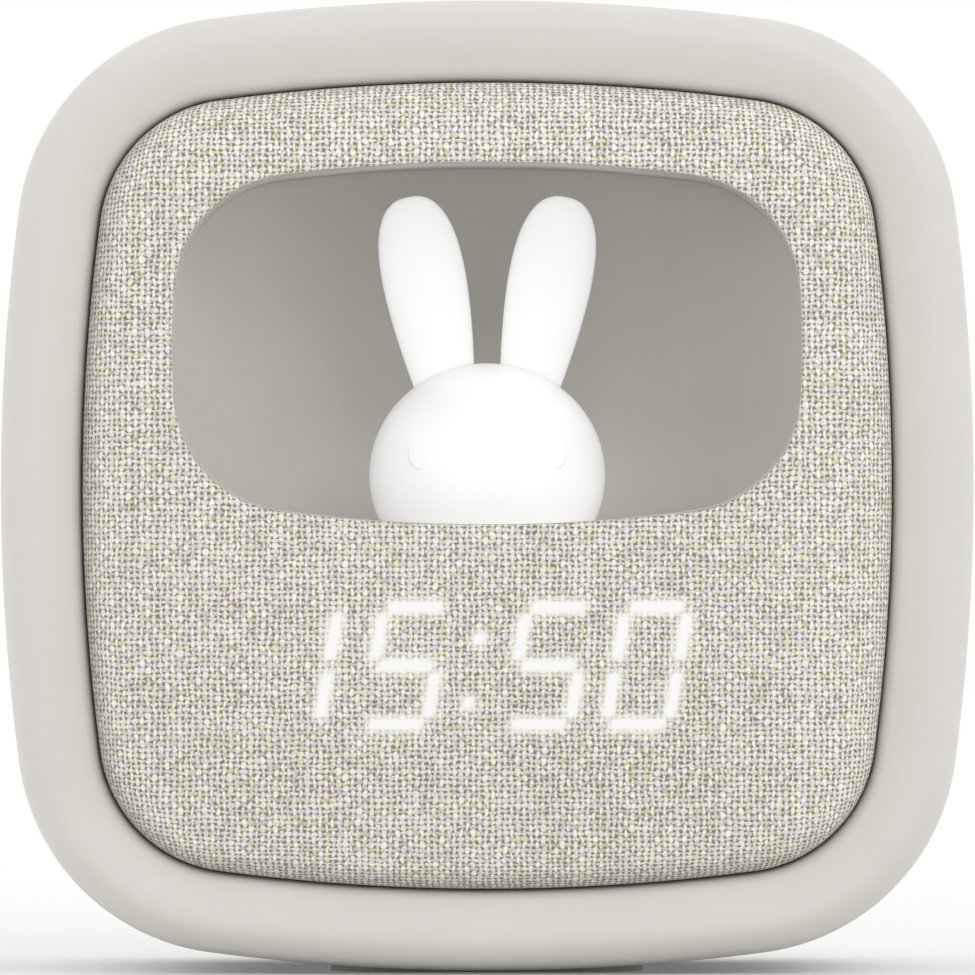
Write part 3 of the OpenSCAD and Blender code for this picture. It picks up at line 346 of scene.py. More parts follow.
class Nodes:
    """Lays out shader nodes in a tree."""

    def __init__(self, tree):
        self.tree = tree
        tree.nodes.clear()

    def feed(self, socket, value):
        if isinstance(value, bpy.types.NodeSocket):
            self.tree.links.new(value, socket)
        elif socket.type == "RGBA":
            socket.default_value = (*value[:3], 1.0)
        else:
            socket.default_value = value

    def node(self, kind, **inputs):
        """A new node with values or links on its named inputs."""
        made = self.tree.nodes.new("ShaderNode" + kind)
        for name, value in inputs.items():
            self.feed(made.inputs[name.replace("_", " ")], value)
        return made

    def fill(self, made, *inputs):
        """Values or links for a node's first inputs."""
        for socket, value in zip(made.inputs, inputs):
            self.feed(socket, value)

    def sum(self, kind, a, b=0.0):
        made = self.node("Math")
        made.operation = kind
        self.fill(made, a, b)
        return made.outputs[0]

    def plus(self, a, b):
        return self.sum("ADD", a, b)

    def less(self, a, b):
        return self.sum("SUBTRACT", a, b)

    def times(self, a, b):
        return self.sum("MULTIPLY", a, b)

    def vector(self, kind, a, b=(0.0, 0.0, 0.0)):
        made = self.node("VectorMath")
        made.operation = kind
        self.fill(made, a, b)
        return made.outputs["Value"]

    def span(self, value, low, high, to_low=0.0, to_high=1.0, kind="LINEAR"):
        made = self.node("MapRange")
        made.interpolation_type = kind
        self.fill(made, value, low, high, to_low, to_high)
        return made.outputs[0]

    def seen(self):
        """1 for camera, glossy and transmission rays, which see the white background."""
        path = self.node("LightPath").outputs
        return self.sum("MAXIMUM", self.sum("MAXIMUM", path["Is Camera Ray"], path["Is Glossy Ray"]),
                        path["Is Transmission Ray"])

    def join(self, share, a, b, end):
        """Mixes two shaders and ends the tree with them."""
        mix = self.node("MixShader")
        self.fill(mix, share, a.outputs[0], b.outputs[0])
        self.tree.links.new(mix.outputs[0], end.inputs["Surface"])


class Recipe(Nodes):
    """A procedural finish on the piece's own coordinates."""

    def __init__(self, name):
        self.material = bpy.data.materials.new(name)
        self.material.use_nodes = True
        super().__init__(self.material.node_tree)
        self.end = self.node("OutputMaterial")
        self.place = self.node("TexCoord").outputs["Object"]

    def layer(self, name):
        """Outputs of a layer of numbers that the mesh carries."""
        made = self.node("Attribute")
        made.attribute_name = name
        return made.outputs

    def tint(self, share, a, b, kind="MIX"):
        made = self.node("Mix")
        made.data_type, made.blend_type = "RGBA", kind
        for socket, value in zip((made.inputs[0], *made.inputs[6:8]), (share, a, b)):
            self.feed(socket, value)
        return made.outputs[2]

    def noise(self, size, detail=2.0, place=None, rough=0.5, stretch=None):
        """Smooth noise with patches of about that size in metres."""
        place = place or self.place
        if stretch:
            place = self.node("Mapping", Vector=place, Scale=stretch).outputs[0]
        return self.node("TexNoise", Vector=place, Scale=1 / size, Detail=detail,
                         Roughness=rough).outputs["Fac"]

    def bump(self, height, depth, strength=1.0):
        return self.node("Bump", Height=height, Distance=depth, Strength=strength).outputs[0]

    def shade(self, **sockets):
        """The finished material."""
        made = self.node("BsdfPrincipled", **sockets)
        self.tree.links.new(made.outputs[0], self.end.inputs["Surface"])
        return self.material


def darker(colour, share):
    return tuple(c * share for c in colour)


def moulded(name, colour, roughness=0.45, grain=0.0004, relief=0.00001, mottle=0.04, layer=None):
    """Moulded plastic: fine grain, a faint flow pattern and uneven gloss, with painted light and shade from a
    layer of the mesh where one is given.
    """
    r = Recipe(name)
    flow = r.noise(0.012, 3.0)
    fine = r.noise(grain, 2.0)
    scuffs = r.span(r.noise(0.0022, 4.0, rough=0.65), 0.5, 0.85)
    base = r.tint(r.span(flow, 0.3, 0.7), darker(colour, 1 - mottle), darker(colour, 1 + mottle / 3))
    base = r.tint(r.times(scuffs, 0.12), base, darker(colour, 0.9))
    # Painted light and shade from the mesh's layer
    if layer:
        base = r.tint(1.0, base, r.layer(layer)["Color"], "MULTIPLY")
    gloss = r.span(r.plus(fine, scuffs), 0.3, 1.4, roughness - 0.07, roughness + 0.12)
    return r.shade(Base_Color=base, Roughness=gloss, Normal=r.bump(fine, relief, 0.7))


def plated(name, colour, roughness=0.3, stretch=(1, 1, 14)):
    """Plated or brushed metal with fine drawn lines and dull spots."""
    r = Recipe(name)
    lines = r.noise(0.0016, 3.0, stretch=stretch)
    dull = r.noise(0.004, 3.0)
    base = r.tint(r.span(dull, 0.35, 0.75), colour, darker(colour, 0.82))
    return r.shade(Base_Color=base, Metallic=1.0, Normal=r.bump(lines, 0.00001, 0.6),
                   Roughness=r.span(r.plus(lines, dull), 0.6, 1.4, roughness - 0.08, roughness + 0.15))


def board_finish():
    """Green solder resist over copper tracks, with a few round pads."""
    r = Recipe("solder_resist")
    green, track = (0.012, 0.10, 0.045), (0.03, 0.19, 0.085)

    def cells(scale, kind=None):
        """1 along the edges or round the middles of cells, 0 elsewhere."""
        made = r.node("TexVoronoi", Vector=r.place, Scale=scale)
        if kind:
            made.feature, made.distance = kind
        return r.span(made.outputs["Distance"], 0.10, 0.14, 1.0, 0.0)

    lines, dots = cells(210, ("DISTANCE_TO_EDGE", "MANHATTAN")), cells(260)
    base = r.tint(lines, green, track)
    base = r.tint(dots, base, (0.62, 0.55, 0.38))
    return r.shade(Base_Color=base, Roughness=r.span(dots, 0, 1, 0.32, 0.45),
                   Normal=r.bump(r.sum("MAXIMUM", lines, dots), 0.00003, 0.8))


def lead_finish(name, colour):
    r = Recipe(name)
    worn = r.noise(0.003, 3.0)
    return r.shade(Base_Color=r.tint(worn, darker(colour, 0.85), colour),
                   Roughness=r.span(worn, 0.3, 0.7, 0.32, 0.5),
                   Normal=r.bump(r.noise(0.0012, 2.0), 0.00003, 0.5))


def weave_finish(cloth, display):
    """Plain weave of mixed yarns over the cloth's own map, lit from behind where the digits are."""
    r = Recipe("woven_cloth")
    cut = r.node("UVMap")
    cut.uv_map = "cut"
    flat = cut.outputs[0]
    split = r.node("SeparateXYZ", Vector=flat).outputs

    def wobble(size, share, shift):
        moved = r.node("Mapping", Vector=flat, Location=(shift, shift * 0.7, shift)).outputs[0]
        return r.times(r.less(r.noise(size, 0.0, moved), 0.5), share)

    def yarns(place, pitch, shift):
        """Number of the yarn at a place and the place within it, from -0.5 to 0.5."""
        count = r.plus(r.sum("DIVIDE", place, pitch), r.plus(
            wobble(0.0035, 0.6, shift[0]), wobble(0.0008, 0.55, shift[1])))
        number = r.sum("FLOOR", count)
        return count, number, r.less(r.less(count, number), 0.5)

    across, col, u = yarns(split["X"], cloth.pitch_across, (0.0, 0.31))
    upward, row, v = yarns(split["Y"], cloth.pitch_up, (0.57, 0.83))
    parity = r.sum("MODULO", r.sum("ABSOLUTE", r.plus(col, row)), 2.0)
    side = r.less(1.0, r.times(parity, 2.0))

    def chance(own, along, shift):
        """A random number for each yarn, or for each place along it."""
        spot = r.node("CombineXYZ", X=own, Y=along, Z=shift).outputs[0]
        return r.node("TexWhiteNoise", Vector=spot).outputs["Value"]

    def yarn(own, along, middle, length, shift, sign):
        """Height and chances of one set of yarns; each yarn has its own width and tint."""
        spot = chance(own, r.sum("FLOOR", r.times(along, 0.55)), shift + 3.0)
        crossing = chance(own, r.sum("FLOOR", along), shift + 5.0)
        wide = r.plus(r.span(chance(own, shift, 0.0), 0, 1, 0.27, 0.36),
                      r.span(crossing, 0, 1, -0.06, 0.08))
        across_yarn = r.sum("DIVIDE", middle, wide)
        round_top = r.sum("SQRT", r.sum("MAXIMUM", r.less(1.0, r.times(across_yarn, across_yarn)), 0.0))
        wave = r.times(r.sum("COSINE", r.times(length, math.pi)), r.times(side, 0.34 * sign))
        height = r.plus(r.times(round_top, 0.62), wave)
        height = r.times(height, r.sum("GREATER_THAN", round_top, 0.001))
        return height, spot, crossing

    warp, warp_tint, warp_spot = yarn(col, upward, u, v, 11.0, 1)
    weft, weft_tint, weft_spot = yarn(row, across, v, u, 29.0, -1)
    on_weft = r.sum("GREATER_THAN", weft, warp)
    height = r.sum("MAXIMUM", warp, weft)

    def pick(a, b):
        made = r.node("Mix", Factor=on_weft)
        r.feed(made.inputs[2], a)
        r.feed(made.inputs[3], b)
        return made.outputs[0]

    own_tint, spot = pick(warp_tint, weft_tint), pick(warp_spot, weft_spot)
    k, cream = cloth.colour_spread, cloth.cream

    def tones(value, stops, kind):
        """Colours round the cream of the yarn, by their share of it."""
        ramp = r.node("ValToRGB", Fac=value)
        ramp.color_ramp.interpolation = kind
        while len(ramp.color_ramp.elements) < len(stops):
            ramp.color_ramp.elements.new(0.5)
        for element, (at, tone) in zip(ramp.color_ramp.elements, stops):
            element.position = at
            element.color = (*[min(c * (1 + (t - 1) * k), 1.0) for c, t in zip(cream, tone)], 1.0)
        return ramp.outputs[0]

    drift = r.plus(r.noise(0.0013, 1.0, flat, 0.6), r.times(r.less(own_tint, 0.5), 0.16))
    colour = tones(drift, [(0.33, (0.96, 0.97, 0.80)), (0.43, (1.0, 1.0, 0.94)), (0.50, (1.0, 1.0, 1.0)),
                           (0.57, (0.98, 0.96, 1.02)), (0.66, (0.91, 0.87, 1.01))], "LINEAR")
    specks = tones(spot, [(0.0, (0.86, 0.91, 0.84)), (0.05, (1.0, 0.89, 0.87)), (0.11, (0.74, 0.74, 0.76)),
                          (0.16, (1.0, 1.0, 1.0))], "CONSTANT")
    colour = r.tint(r.span(spot, 0.155, 0.165, 0.7, 0.0), colour, specks)
    fibre = r.noise(0.00030, 2.0, flat, 0.65)
    fuzz = r.noise(0.00013, 1.0, flat, 0.6)
    shade = r.times(r.span(fibre, 0.28, 0.60, 0.60, 1.06), r.span(own_tint, 0.0, 0.7, 0.80, 1.03))
    shade = r.times(shade, r.span(on_weft, 0.0, 1.0, 1.07, 0.91))
    colour = r.tint(1.0, colour, r.tint(shade, (0.0, 0.0, 0.0), WHITE), "MULTIPLY")
    # Painted shade in the hollows: the colour falls to the pore colour where the yarns dip
    depth = r.span(r.plus(height, r.times(r.less(fuzz, 0.5), 0.45)), -0.06, 0.80, 0.0, 1.0, "SMOOTHSTEP")
    colour = r.tint(depth, cloth.shade, colour)
    # Painted shade at the cloth's lower and left edge and painted light towards its top and right, from a
    # layer of the mesh
    colour = r.tint(1.0, colour, r.layer("painted_shade_and_light")["Color"], "MULTIPLY")

    # The light of the bars comes through the cloth and fills its pores
    gap = r.plus(r.layer("bar_gap")["Fac"], r.times(r.less(fibre, 0.5), 0.0007))
    lit = r.span(gap, -display.spread * 0.75, display.spread * 0.35, 1.0, 0.0, "SMOOTHSTEP")
    # The halo is painted light: the cloth's colour is lifted towards cream just round each lit bar
    halo = r.span(gap, -0.0001, 0.0012, 0.5, 0.0, "SMOOTHSTEP")
    colour = r.tint(halo, colour, cream)
    colour = r.tint(lit, colour, (0.50, 0.50, 0.49))
    material = r.shade(
        Base_Color=colour, Roughness=0.92, Sheen_Weight=0.12, Sheen_Roughness=0.6,
        Specular_IOR_Level=0.2, Emission_Color=(1.0, 1.0, 0.985),
        Emission_Strength=r.times(lit, display.light),
        Normal=r.bump(r.plus(height, r.times(fibre, 0.35)), 0.00020,
                      r.span(lit, 0.0, 1.0, 0.55, 0.1)))
    material.cycles.emission_sampling = "NONE"
    return material


def rabbit_finish(rabbit):
    """Milky shade lit from inside; the light is a little weaker where the wall turns away."""
    r = Recipe("milky_shade")
    cloudy = r.span(r.noise(0.009, 2.0), 0.3, 0.7, 0.985, 1.0)
    strength = r.times(r.times(r.layer("light")["Fac"], cloudy), rabbit.light)
    material = r.shade(
        Base_Color=rabbit.colour, Roughness=0.42, Specular_IOR_Level=0.2,
        Emission_Color=(1.0, 1.0, 0.995), Emission_Strength=strength,
        Normal=r.bump(r.noise(0.0006, 2.0), 0.000006, 0.5))
    material.cycles.emission_sampling = "NONE"
    return material


# ------------------------------------------------------------------ pieces


def shell_section():
    """Section of the shell as places along Y and insets: from the shelf over the bezel, round, and back."""
    out = [(SHELF_Y, RIM_D)]
    out += arc((RIM_Y + RIM_ROUND_Y, RIM_D - RIM_ROUND_D), (RIM_ROUND_Y, RIM_ROUND_D),
               [90, 98, 106, 114, 122, 130, 138, 145, 151, 156.5])
    start_y, start_d = out[-1]
    for s in np.linspace(0.0, 1.0, 15)[1:-1]:
        crest = FRONT_Y - (FRONT_Y - start_y) * (1 - s) ** 1.75
        out.append((crest, start_d - (start_d - CREST_D) * s))
    out += arc((FRONT_Y + BEZEL_ROUND_Y, CREST_D), (BEZEL_ROUND_Y, CREST_D), np.linspace(180, 270, 15))
    rear = FLANK_Y, REAR_ROUND_D
    out += arc(rear, (REAR_ROUND_Y, REAR_ROUND_D), np.linspace(-90, 0, 22))
    out += [(REAR_Y, COVER_D - 0.4), (REAR_Y - 0.12, COVER_D - 0.12), (REAR_Y - 0.4, COVER_D)]
    out += [(SEAT_Y, COVER_D), (SEAT_Y, LEDGE_D), (SEAT_Y - LEDGE_T, LEDGE_D)]
    inner = REAR_ROUND_Y - WALL, REAR_ROUND_D - WALL
    start = -math.degrees(math.acos((SEAT_Y - LEDGE_T - FLANK_Y) / inner[0]))
    out += arc(rear, inner, np.linspace(start, -90, 10))
    out += [(FRONT_Y + BEZEL_ROUND_Y, WALL), (RIM_Y + 2.3, WALL + 1.4), (RIM_Y + 1.6, WALL + 3.2),
            (RIM_Y + 2.4, BEZEL_W - 2.4), (RIM_Y + 4, BEZEL_W - 2),
            (SHELF_Y + SHELF_T, BEZEL_W - 2), (SHELF_Y + SHELF_T, SHELF_D), (SHELF_Y, SHELF_D)]
    return out


class CLOCK_OT_mould_shell(bpy.types.Operator):
    """Mould the one-piece shell with its raised bezel"""
    bl_idname = "clock.mould_shell"
    bl_label = "Mould the shell"

    def execute(self, context):
        shell = context.scene.clock_shell
        plastic = moulded("shell_plastic", shell.colour, 0.46, shell.grain, 0.000008, 0.02)
        bm = bmesh.new()
        rings = []
        for y, inset in shell_section():
            places = [(x, y, MID_Z + z) for x, z in BODY.ring(inset)]
            rings.append(pull_ring(bm, rings[-1], places) if rings else ring_of(bm, places))
        bmesh.ops.bridge_loops(bm, edges=edges_between(bm, rings[0] + rings[-1], 1))
        bmesh.ops.recalc_face_normals(bm, faces=bm.faces)
        mark_creases(bm, 34)
        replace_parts(make_piece(bm, "moulded_shell", plastic), "housing")
        dress(moulded("foot_silicone", (0.72, 0.70, 0.67), 0.7, 0.0005, 0.00002), "foot_pad")
        return {"FINISHED"}


class CLOCK_OT_fit_rear(bpy.types.Operator):
    """Fit the rear cover with its buttons, slider and socket"""
    bl_idname = "clock.fit_rear"
    bl_label = "Fit the rear"

    def execute(self, context):
        shell = context.scene.clock_shell
        cover = moulded("cover_plastic", darker(shell.colour, 0.97), 0.5, shell.grain, 0.00001, 0.02)
        smooth_copy("rear_cover", "moulded_cover", cover)
        keys = moulded("button_plastic", darker(shell.colour, 0.88), 0.38, shell.grain, 0.000006, 0.02)
        for name in BUTTONS:
            smooth_copy(f"{name}_button", f"{name}_key", keys)
        smooth_copy("alarm_slider", "alarm_slide_key", keys, shell.corner)
        steel = plated("screw_steel", (0.62, 0.62, 0.63), 0.32, (6, 1, 6))
        smooth_copy("rear_cover_screws", "cover_screws", steel)
        socket = plated("socket_steel", (0.66, 0.67, 0.68), 0.25)
        smooth_copy("usb_socket", "usb_shell", socket)
        dress(moulded("black_plastic", (0.02, 0.02, 0.021), 0.4), "usb_tongue")
        dress(steel, "board_screws", "display_screws", "liner_screws", "lamp_screws", "speaker_screws",
              "tray_screws")
        return {"FINISHED"}


def bar_gaps(x, z):
    """Distance in millimetres from each point of the front to the nearest lit bar, negative inside it."""
    up, mid = (DIGIT_H - BAR_W) / 2, (DIGIT_W - BAR_W) / 2
    flat, tall = DIGIT_W - BAR_W - LEVEL_SHORT, up - BAR_W + POST_LONG
    level = {"top": (0, up), "middle": (0, 0), "base": (0, -up)}
    post = {"upper_left": (-mid, up / 2), "upper_right": (mid, up / 2),
            "lower_left": (-mid, -up / 2), "lower_right": (mid, -up / 2)}
    shapes = {"1": ("upper_right", "lower_right"),
              "5": ("top", "middle", "base", "upper_left", "lower_right"),
              "0": ("top", "base", "upper_left", "upper_right", "lower_left", "lower_right")}
    bars = []
    for step, digit in zip(DIGIT_STEPS, "1550"):
        for name in shapes[digit]:
            cx, cz = level.get(name) or post[name]
            size = (flat, BAR_W) if name in level else (BAR_W, tall)
            bars.append((DIGIT_X + step + cx + (ONE_X if digit == "1" else 0.0), DIGIT_Z + cz, *size))
    for s in (-1, 1):
        bars.append((DIGIT_X + COLON_X, DIGIT_Z - COLON_LOW + s * COLON_UP, BAR_W, BAR_W))
    gap = np.full(np.shape(x), 9.0)
    for cx, cz, w, h in bars:
        dx = np.abs(x - DIGIT_LEAN * (z - DIGIT_Z) - cx) - w / 2 + BAR_R
        dz = np.abs(z - cz) - h / 2 + BAR_R
        outside = np.hypot(np.maximum(dx, 0), np.maximum(dz, 0))
        gap = np.minimum(gap, outside + np.minimum(np.maximum(dx, dz), 0) - BAR_R)
    return gap


def spread_lines(stops):
    """Grid lines through stretches of (start, end, spacing)."""
    lines = []
    for a, b, step in stops:
        n = max(1, round((b - a) / step))
        lines += [a + (b - a) * i / n for i in range(n)]
    return np.array(lines + [stops[-1][1]])


def warped_grid(bm, xs, zs, outline, inset, start=0.72):
    """A grid over the box of the lines whose rim is drawn onto the outline; gives its vertices."""
    nx, nz = len(xs), len(zs)
    made = bmesh.ops.create_grid(bm, x_segments=nx - 1, y_segments=nz - 1, size=1.0)["verts"]
    co = np.array([v.co[:2] for v in made])
    i = np.rint((co[:, 0] + 1) / 2 * (nx - 1)).astype(int)
    j = np.rint((co[:, 1] + 1) / 2 * (nz - 1)).astype(int)
    x, z = xs[i], zs[j]
    mid_x, mid_z = (xs[0] + xs[-1]) / 2, (zs[0] + zs[-1]) / 2
    half_x, half_z = (xs[-1] - xs[0]) / 2, (zs[-1] - zs[0]) / 2
    u, w = (x - mid_x) / half_x, (z - mid_z) / half_z
    m = np.maximum(np.abs(u), np.abs(w))
    safe = np.maximum(m, 1e-9)
    rim_x, rim_z = mid_x + half_x * u / safe, mid_z + half_z * w / safe
    angle = np.degrees(np.arctan2(rim_z, rim_x))
    pull = outline.reach(angle, inset) / np.hypot(rim_x, rim_z)
    share = np.clip((m - start) / (1 - start), 0, 1)
    share = share * share * (3 - 2 * share)
    scale = 1 + (pull - 1) * share
    for v, px, pz in zip(made, x * scale, z * scale):
        v.co = (px, 0.0, pz)
    return made


def hole_ring(bm, near):
    """Vertices round the open edge that passes closest to a spot, in turn."""
    open_edges = [e for e in bm.edges if len(e.link_faces) == 1]
    start = min(open_edges, key=lambda e: ((e.verts[0].co + e.verts[1].co) / 2 - near).length)
    ring, v, e = [], start.verts[0], start
    while True:
        ring.append(v)
        v = e.other_vert(v)
        if v is ring[0]:
            return ring
        e = next(k for k in v.link_edges if k is not e and len(k.link_faces) == 1)


def front_y(x, z):
    """Plane along Y of the swollen front at each point."""
    angle = np.degrees(np.arctan2(z, x))
    s = np.hypot(x, z) / BODY.reach(angle, CLOTH_EDGE_D + CLOTH_ROUND_D)
    return CLOTH_EDGE_Y - CLOTH_ROUND_Y - CROWN * (1 - np.minimum(s, 1) ** 2)


class CLOCK_OT_stretch_fabric(bpy.types.Operator):
    """Stretch the woven cloth over the swollen front and into the mouth of the alcove"""
    bl_idname = "clock.stretch_fabric"
    bl_label = "Stretch the fabric"

    def execute(self, context):
        cloth, display = context.scene.clock_fabric, context.scene.clock_display
        bm = bmesh.new()
        mouth = self.lay_front(bm)
        flat = bm.loops.layers.uv.new("cut")
        # Each vertex keeps its place on the flat cut while the cloth is drawn over the edges
        place = {v: (v.co.x, v.co.z) for v in bm.verts}
        co = np.array([v.co for v in bm.verts])
        for v, (x, _, z), y in zip(bm.verts, co, front_y(co[:, 0], co[:, 2])):
            v.co = (x, y, MID_Z + z)
        wrap = self.turn_outside(bm, place)
        self.turn_inside(bm, place, mouth)
        face_front(bm, min)
        painted_shade_and_light = self.map_cut(bm, place, flat)
        mark_creases(bm, 60)
        area = sum(f.calc_area() for f in bm.faces) * MM * MM
        co = np.array([v.co for v in bm.verts])
        gaps = bar_gaps(co[:, 0], co[:, 2]) * MM
        cover = make_piece(bm, "stretched_cloth", weave_finish(cloth, display))
        for name, values in (("bar_gap", gaps), ("painted_shade_and_light", painted_shade_and_light)):
            layer = cover.data.attributes.new(name, "FLOAT", "POINT")
            layer.data.foreach_set("value", values.astype(np.float32))
        wall = cover.modifiers.new("cloth thickness", "SOLIDIFY")
        wall.thickness, wall.offset = cloth.thickness, -1.0
        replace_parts(cover, "fabric_cover")
        return {"FINISHED"}

    def lay_front(self, bm):
        """The flat front with a hole for the mouth, and a fine band round the hole; gives its ring."""
        edge = CLOTH_EDGE_D + CLOTH_ROUND_D
        half_x, half_z = HALF_W - edge, HALF_H - edge
        xs = spread_lines([(-half_x, -36, COARSE), (-36, 34, FINE), (34, half_x, COARSE)])
        zs = spread_lines([(-half_z, -36, COARSE), (-36, -13, FINE), (-13, half_z, COARSE)])
        warped_grid(bm, xs, zs, BODY, edge)
        inset, _ = MOUTH.nearest([v.co.x for v in bm.verts], [v.co.z for v in bm.verts])
        # The mouth's arcs don't reach its middle, so that is named by its box
        gone = [v for v, d in zip(bm.verts, inset)
                if d > -CLOTH_TURN - 0.9 or (abs(v.co.x) < 30 and 2 < v.co.z < 34)]
        bmesh.ops.delete(bm, geom=gone, context="VERTS")
        bmesh.ops.delete(bm, geom=[v for v in bm.verts if not v.link_faces], context="VERTS")
        jagged = hole_ring(bm, Vector((0, 0, -6)))
        ring = ring_of(bm, [(x, 0.0, z) for x, z in MOUTH.ring(-CLOTH_TURN, (44, 18, 22))])
        edges = edges_between(bm, jagged, 1) + edges_between(bm, ring, 0)
        bmesh.ops.triangle_fill(bm, edges=edges, use_beauty=True, normal=(0, -1, 0))
        return ring

    def turn_over(self, bm, place, rim, steps, outline, way):
        """Carries the rim over a rounded edge: steps are (out, back, length on the cut)."""
        start = [v.co.copy() for v in rim]
        _, out = outline.nearest([s.x for s in start], [s.z - MID_Z for s in start])
        out, cut = out * way, [place[v] for v in rim]
        for go, back, length in steps:
            rim = pull_ring(bm, rim, [
                (s.x + o[0] * go, back(s.y), s.z + o[1] * go) for s, o in zip(start, out)])
            for v, c, o in zip(rim, cut, out):
                place[v] = (c[0] + o[0] * length, c[1] + o[1] * length)

    def turn_outside(self, bm, place):
        """Wraps the cloth over its outer edge down into the groove; gives the length wrapped."""
        length, last, steps = 0.0, (0.0, 0.0), []
        for t in np.radians(np.linspace(90, 0, 13))[1:]:
            here = (CLOTH_ROUND_D * math.cos(t), CLOTH_ROUND_Y * (1 - math.sin(t)))
            length += math.dist(last, here)
            steps.append((here[0], lambda y, b=here[1]: y + b, length))
            last = here
        for y in (CLOTH_EDGE_Y + 1.0, SHELF_Y - 0.1):
            steps.append((CLOTH_ROUND_D, lambda _, b=y: b, length + y - CLOTH_EDGE_Y))
        self.turn_over(bm, place, hole_ring(bm, Vector((0, -33, 0))), steps, BODY, 1)
        return length - CLOTH_ROUND_D + SHELF_Y - CLOTH_EDGE_Y

    def turn_inside(self, bm, place, ring):
        """Turns the cloth in round the mouth, back to the alcove's lip."""
        turn, steps = CLOTH_TURN, []
        for t in np.radians([18, 36, 54, 72, 90]):
            steps.append((turn * math.sin(t), lambda y, b=turn * (1 - math.cos(t)): y + b, turn * t))
        for share in (0.35, 1.0):
            steps.append((turn, lambda y, k=share: y + turn + (LIP_Y - y - turn) * k,
                          turn * math.pi / 2 + CLOTH_TURN_IN * share))
        self.turn_over(bm, place, ring, steps, MOUTH, -1)

    def map_cut(self, bm, place, flat):
        """Lays out the weave on the flat cut, its yarns closer at the drawn outer edge; gives painted shade
        along the lower and left edge and painted light towards the top and right.
        """
        cut = np.array([place[v] for v in bm.verts])
        inset, out = BODY.nearest(cut[:, 0], cut[:, 1])
        rim = inset - CLOTH_EDGE_D
        cut += out * (2.0 * np.clip(1 - rim / 5.5, 0, 1.2) ** 2)[:, None]
        bm.verts.index_update()
        for f in bm.faces:
            for loop in f.loops:
                x, z = cut[loop.vert.index]
                loop[flat].uv = (x * MM + 0.1, z * MM + 0.1)
        # Painted shade where the edge turns to the lower left, painted light towards the top and right
        turned = np.clip(0.5 - 0.5 * (out[:, 0] + out[:, 1]), 0, 1)
        painted_shade_and_light = 1 - 0.30 * turned * np.clip(1 - rim / 2.8, 0, 1)
        high, right = (np.clip((cut[:, i] - 36) / 10, 0, 1) for i in (1, 0))
        return painted_shade_and_light + 0.06 * high + 0.04 * right


class CLOCK_OT_form_alcove(bpy.types.Operator):
    """Form the smooth half-round alcove and the carriers behind the fabric"""
    bl_idname = "clock.form_alcove"
    bl_label = "Form the alcove"

    def execute(self, context):
        alcove = context.scene.clock_alcove
        look = alcove.colour, 0.55, 0.0006, 0.000006, 0.02
        bm = bmesh.new()
        lean = np.radians(np.linspace(-86, 86, 121))
        xs = MOUTH_HALF * np.sin(lean) / math.sin(lean[-1])
        zs = spread_lines([(MOUTH_BASE, MOUTH_TOP, 1.2)])
        made = warped_grid(bm, xs, zs, MOUTH, SKIN, 0.55)
        rim = hole_ring(bm, Vector((0, 0, -5)))
        mid_z = (MOUTH_TOP + MOUTH_BASE) / 2

        def drawn_in(x):
            return 1 - DRAWN * unit((abs(x) - 15) / 9)

        # The sides and corners lie further in, clear of the liner's flat facets
        for v in made:
            share = drawn_in(v.co.x)
            v.co.x, v.co.z = v.co.x * share, mid_z + (v.co.z - mid_z) * share
            x = min(abs(v.co.x), MOUTH_HALF)
            v.co.y = COVE_Y + math.sqrt((COVE_R - SKIN) ** 2 - x * x)
            v.co.z += MID_Z
        edges = [e for e in bm.edges if len(e.link_faces) == 1]
        front = pull_ring(bm, rim, [(v.co.x, LIP_Y + 1.6, v.co.z) for v in rim])
        # The front edge opens out again to meet the cloth
        places = []
        for v in front:
            share = 1 / drawn_in(v.co.x) + 0.001
            places.append((v.co.x * share, LIP_Y + 0.02, MID_Z + mid_z + (v.co.z - MID_Z - mid_z) * share))
        pull_ring(bm, front, places)
        round_edges(bm, edges, alcove.edge / MM, 3)
        face_front(bm, max)
        mark_creases(bm, 70)
        bm.normal_update()
        # The tone layer is painted light and shade: lighter towards the floor, with painted shade on the
        # ceiling, on the right side and between the ears
        tone = bm.verts.layers.float.new("tone")
        for v in bm.verts:
            low = unit(1 - (v.co.z - FLOOR_Z) / 16)
            right = unit((v.co.x - 18) / 14) * (1 - low)
            middle = math.exp(-(v.co.x / 6) ** 2 - ((v.co.z - 90) / 7) ** 2)
            ceiling = unit(-1.2 * v.normal.z)
            v[tone] = 1 + 0.12 * low ** 1.5 - 0.20 * ceiling - 0.14 * right - 0.12 * middle
        plastic = moulded("alcove_plastic", *look, "tone")
        # The half-round wall is shaded as the true cylinder that its points lie on
        mesh = make_piece(bm, "alcove_skin", plastic).data
        normals = [corner.vector.copy() for corner in mesh.corner_normals]
        for loop in mesh.loops:
            x, y, _ = mesh.vertices[loop.vertex_index].co / MM
            if abs(math.hypot(x, y - COVE_Y) - (COVE_R - SKIN)) < 0.01:
                normals[loop.index] = Vector((-x, COVE_Y - y, 0)).normalized()
        mesh.normals_split_custom_set(normals)
        dress(moulded("liner_plastic", *look), "alcove_liner")
        dress(moulded("inner_plastic", (0.28, 0.27, 0.26), 0.6), "front_baffle")
        return {"FINISHED"}


def light_level(front, low=0.45, fall=2.6):
    """Share of the lamp's light that a point of the rabbit gives: full to the front, less to the sides."""
    return low + (1 - low) * (1 - (1 - unit(front)) ** fall)


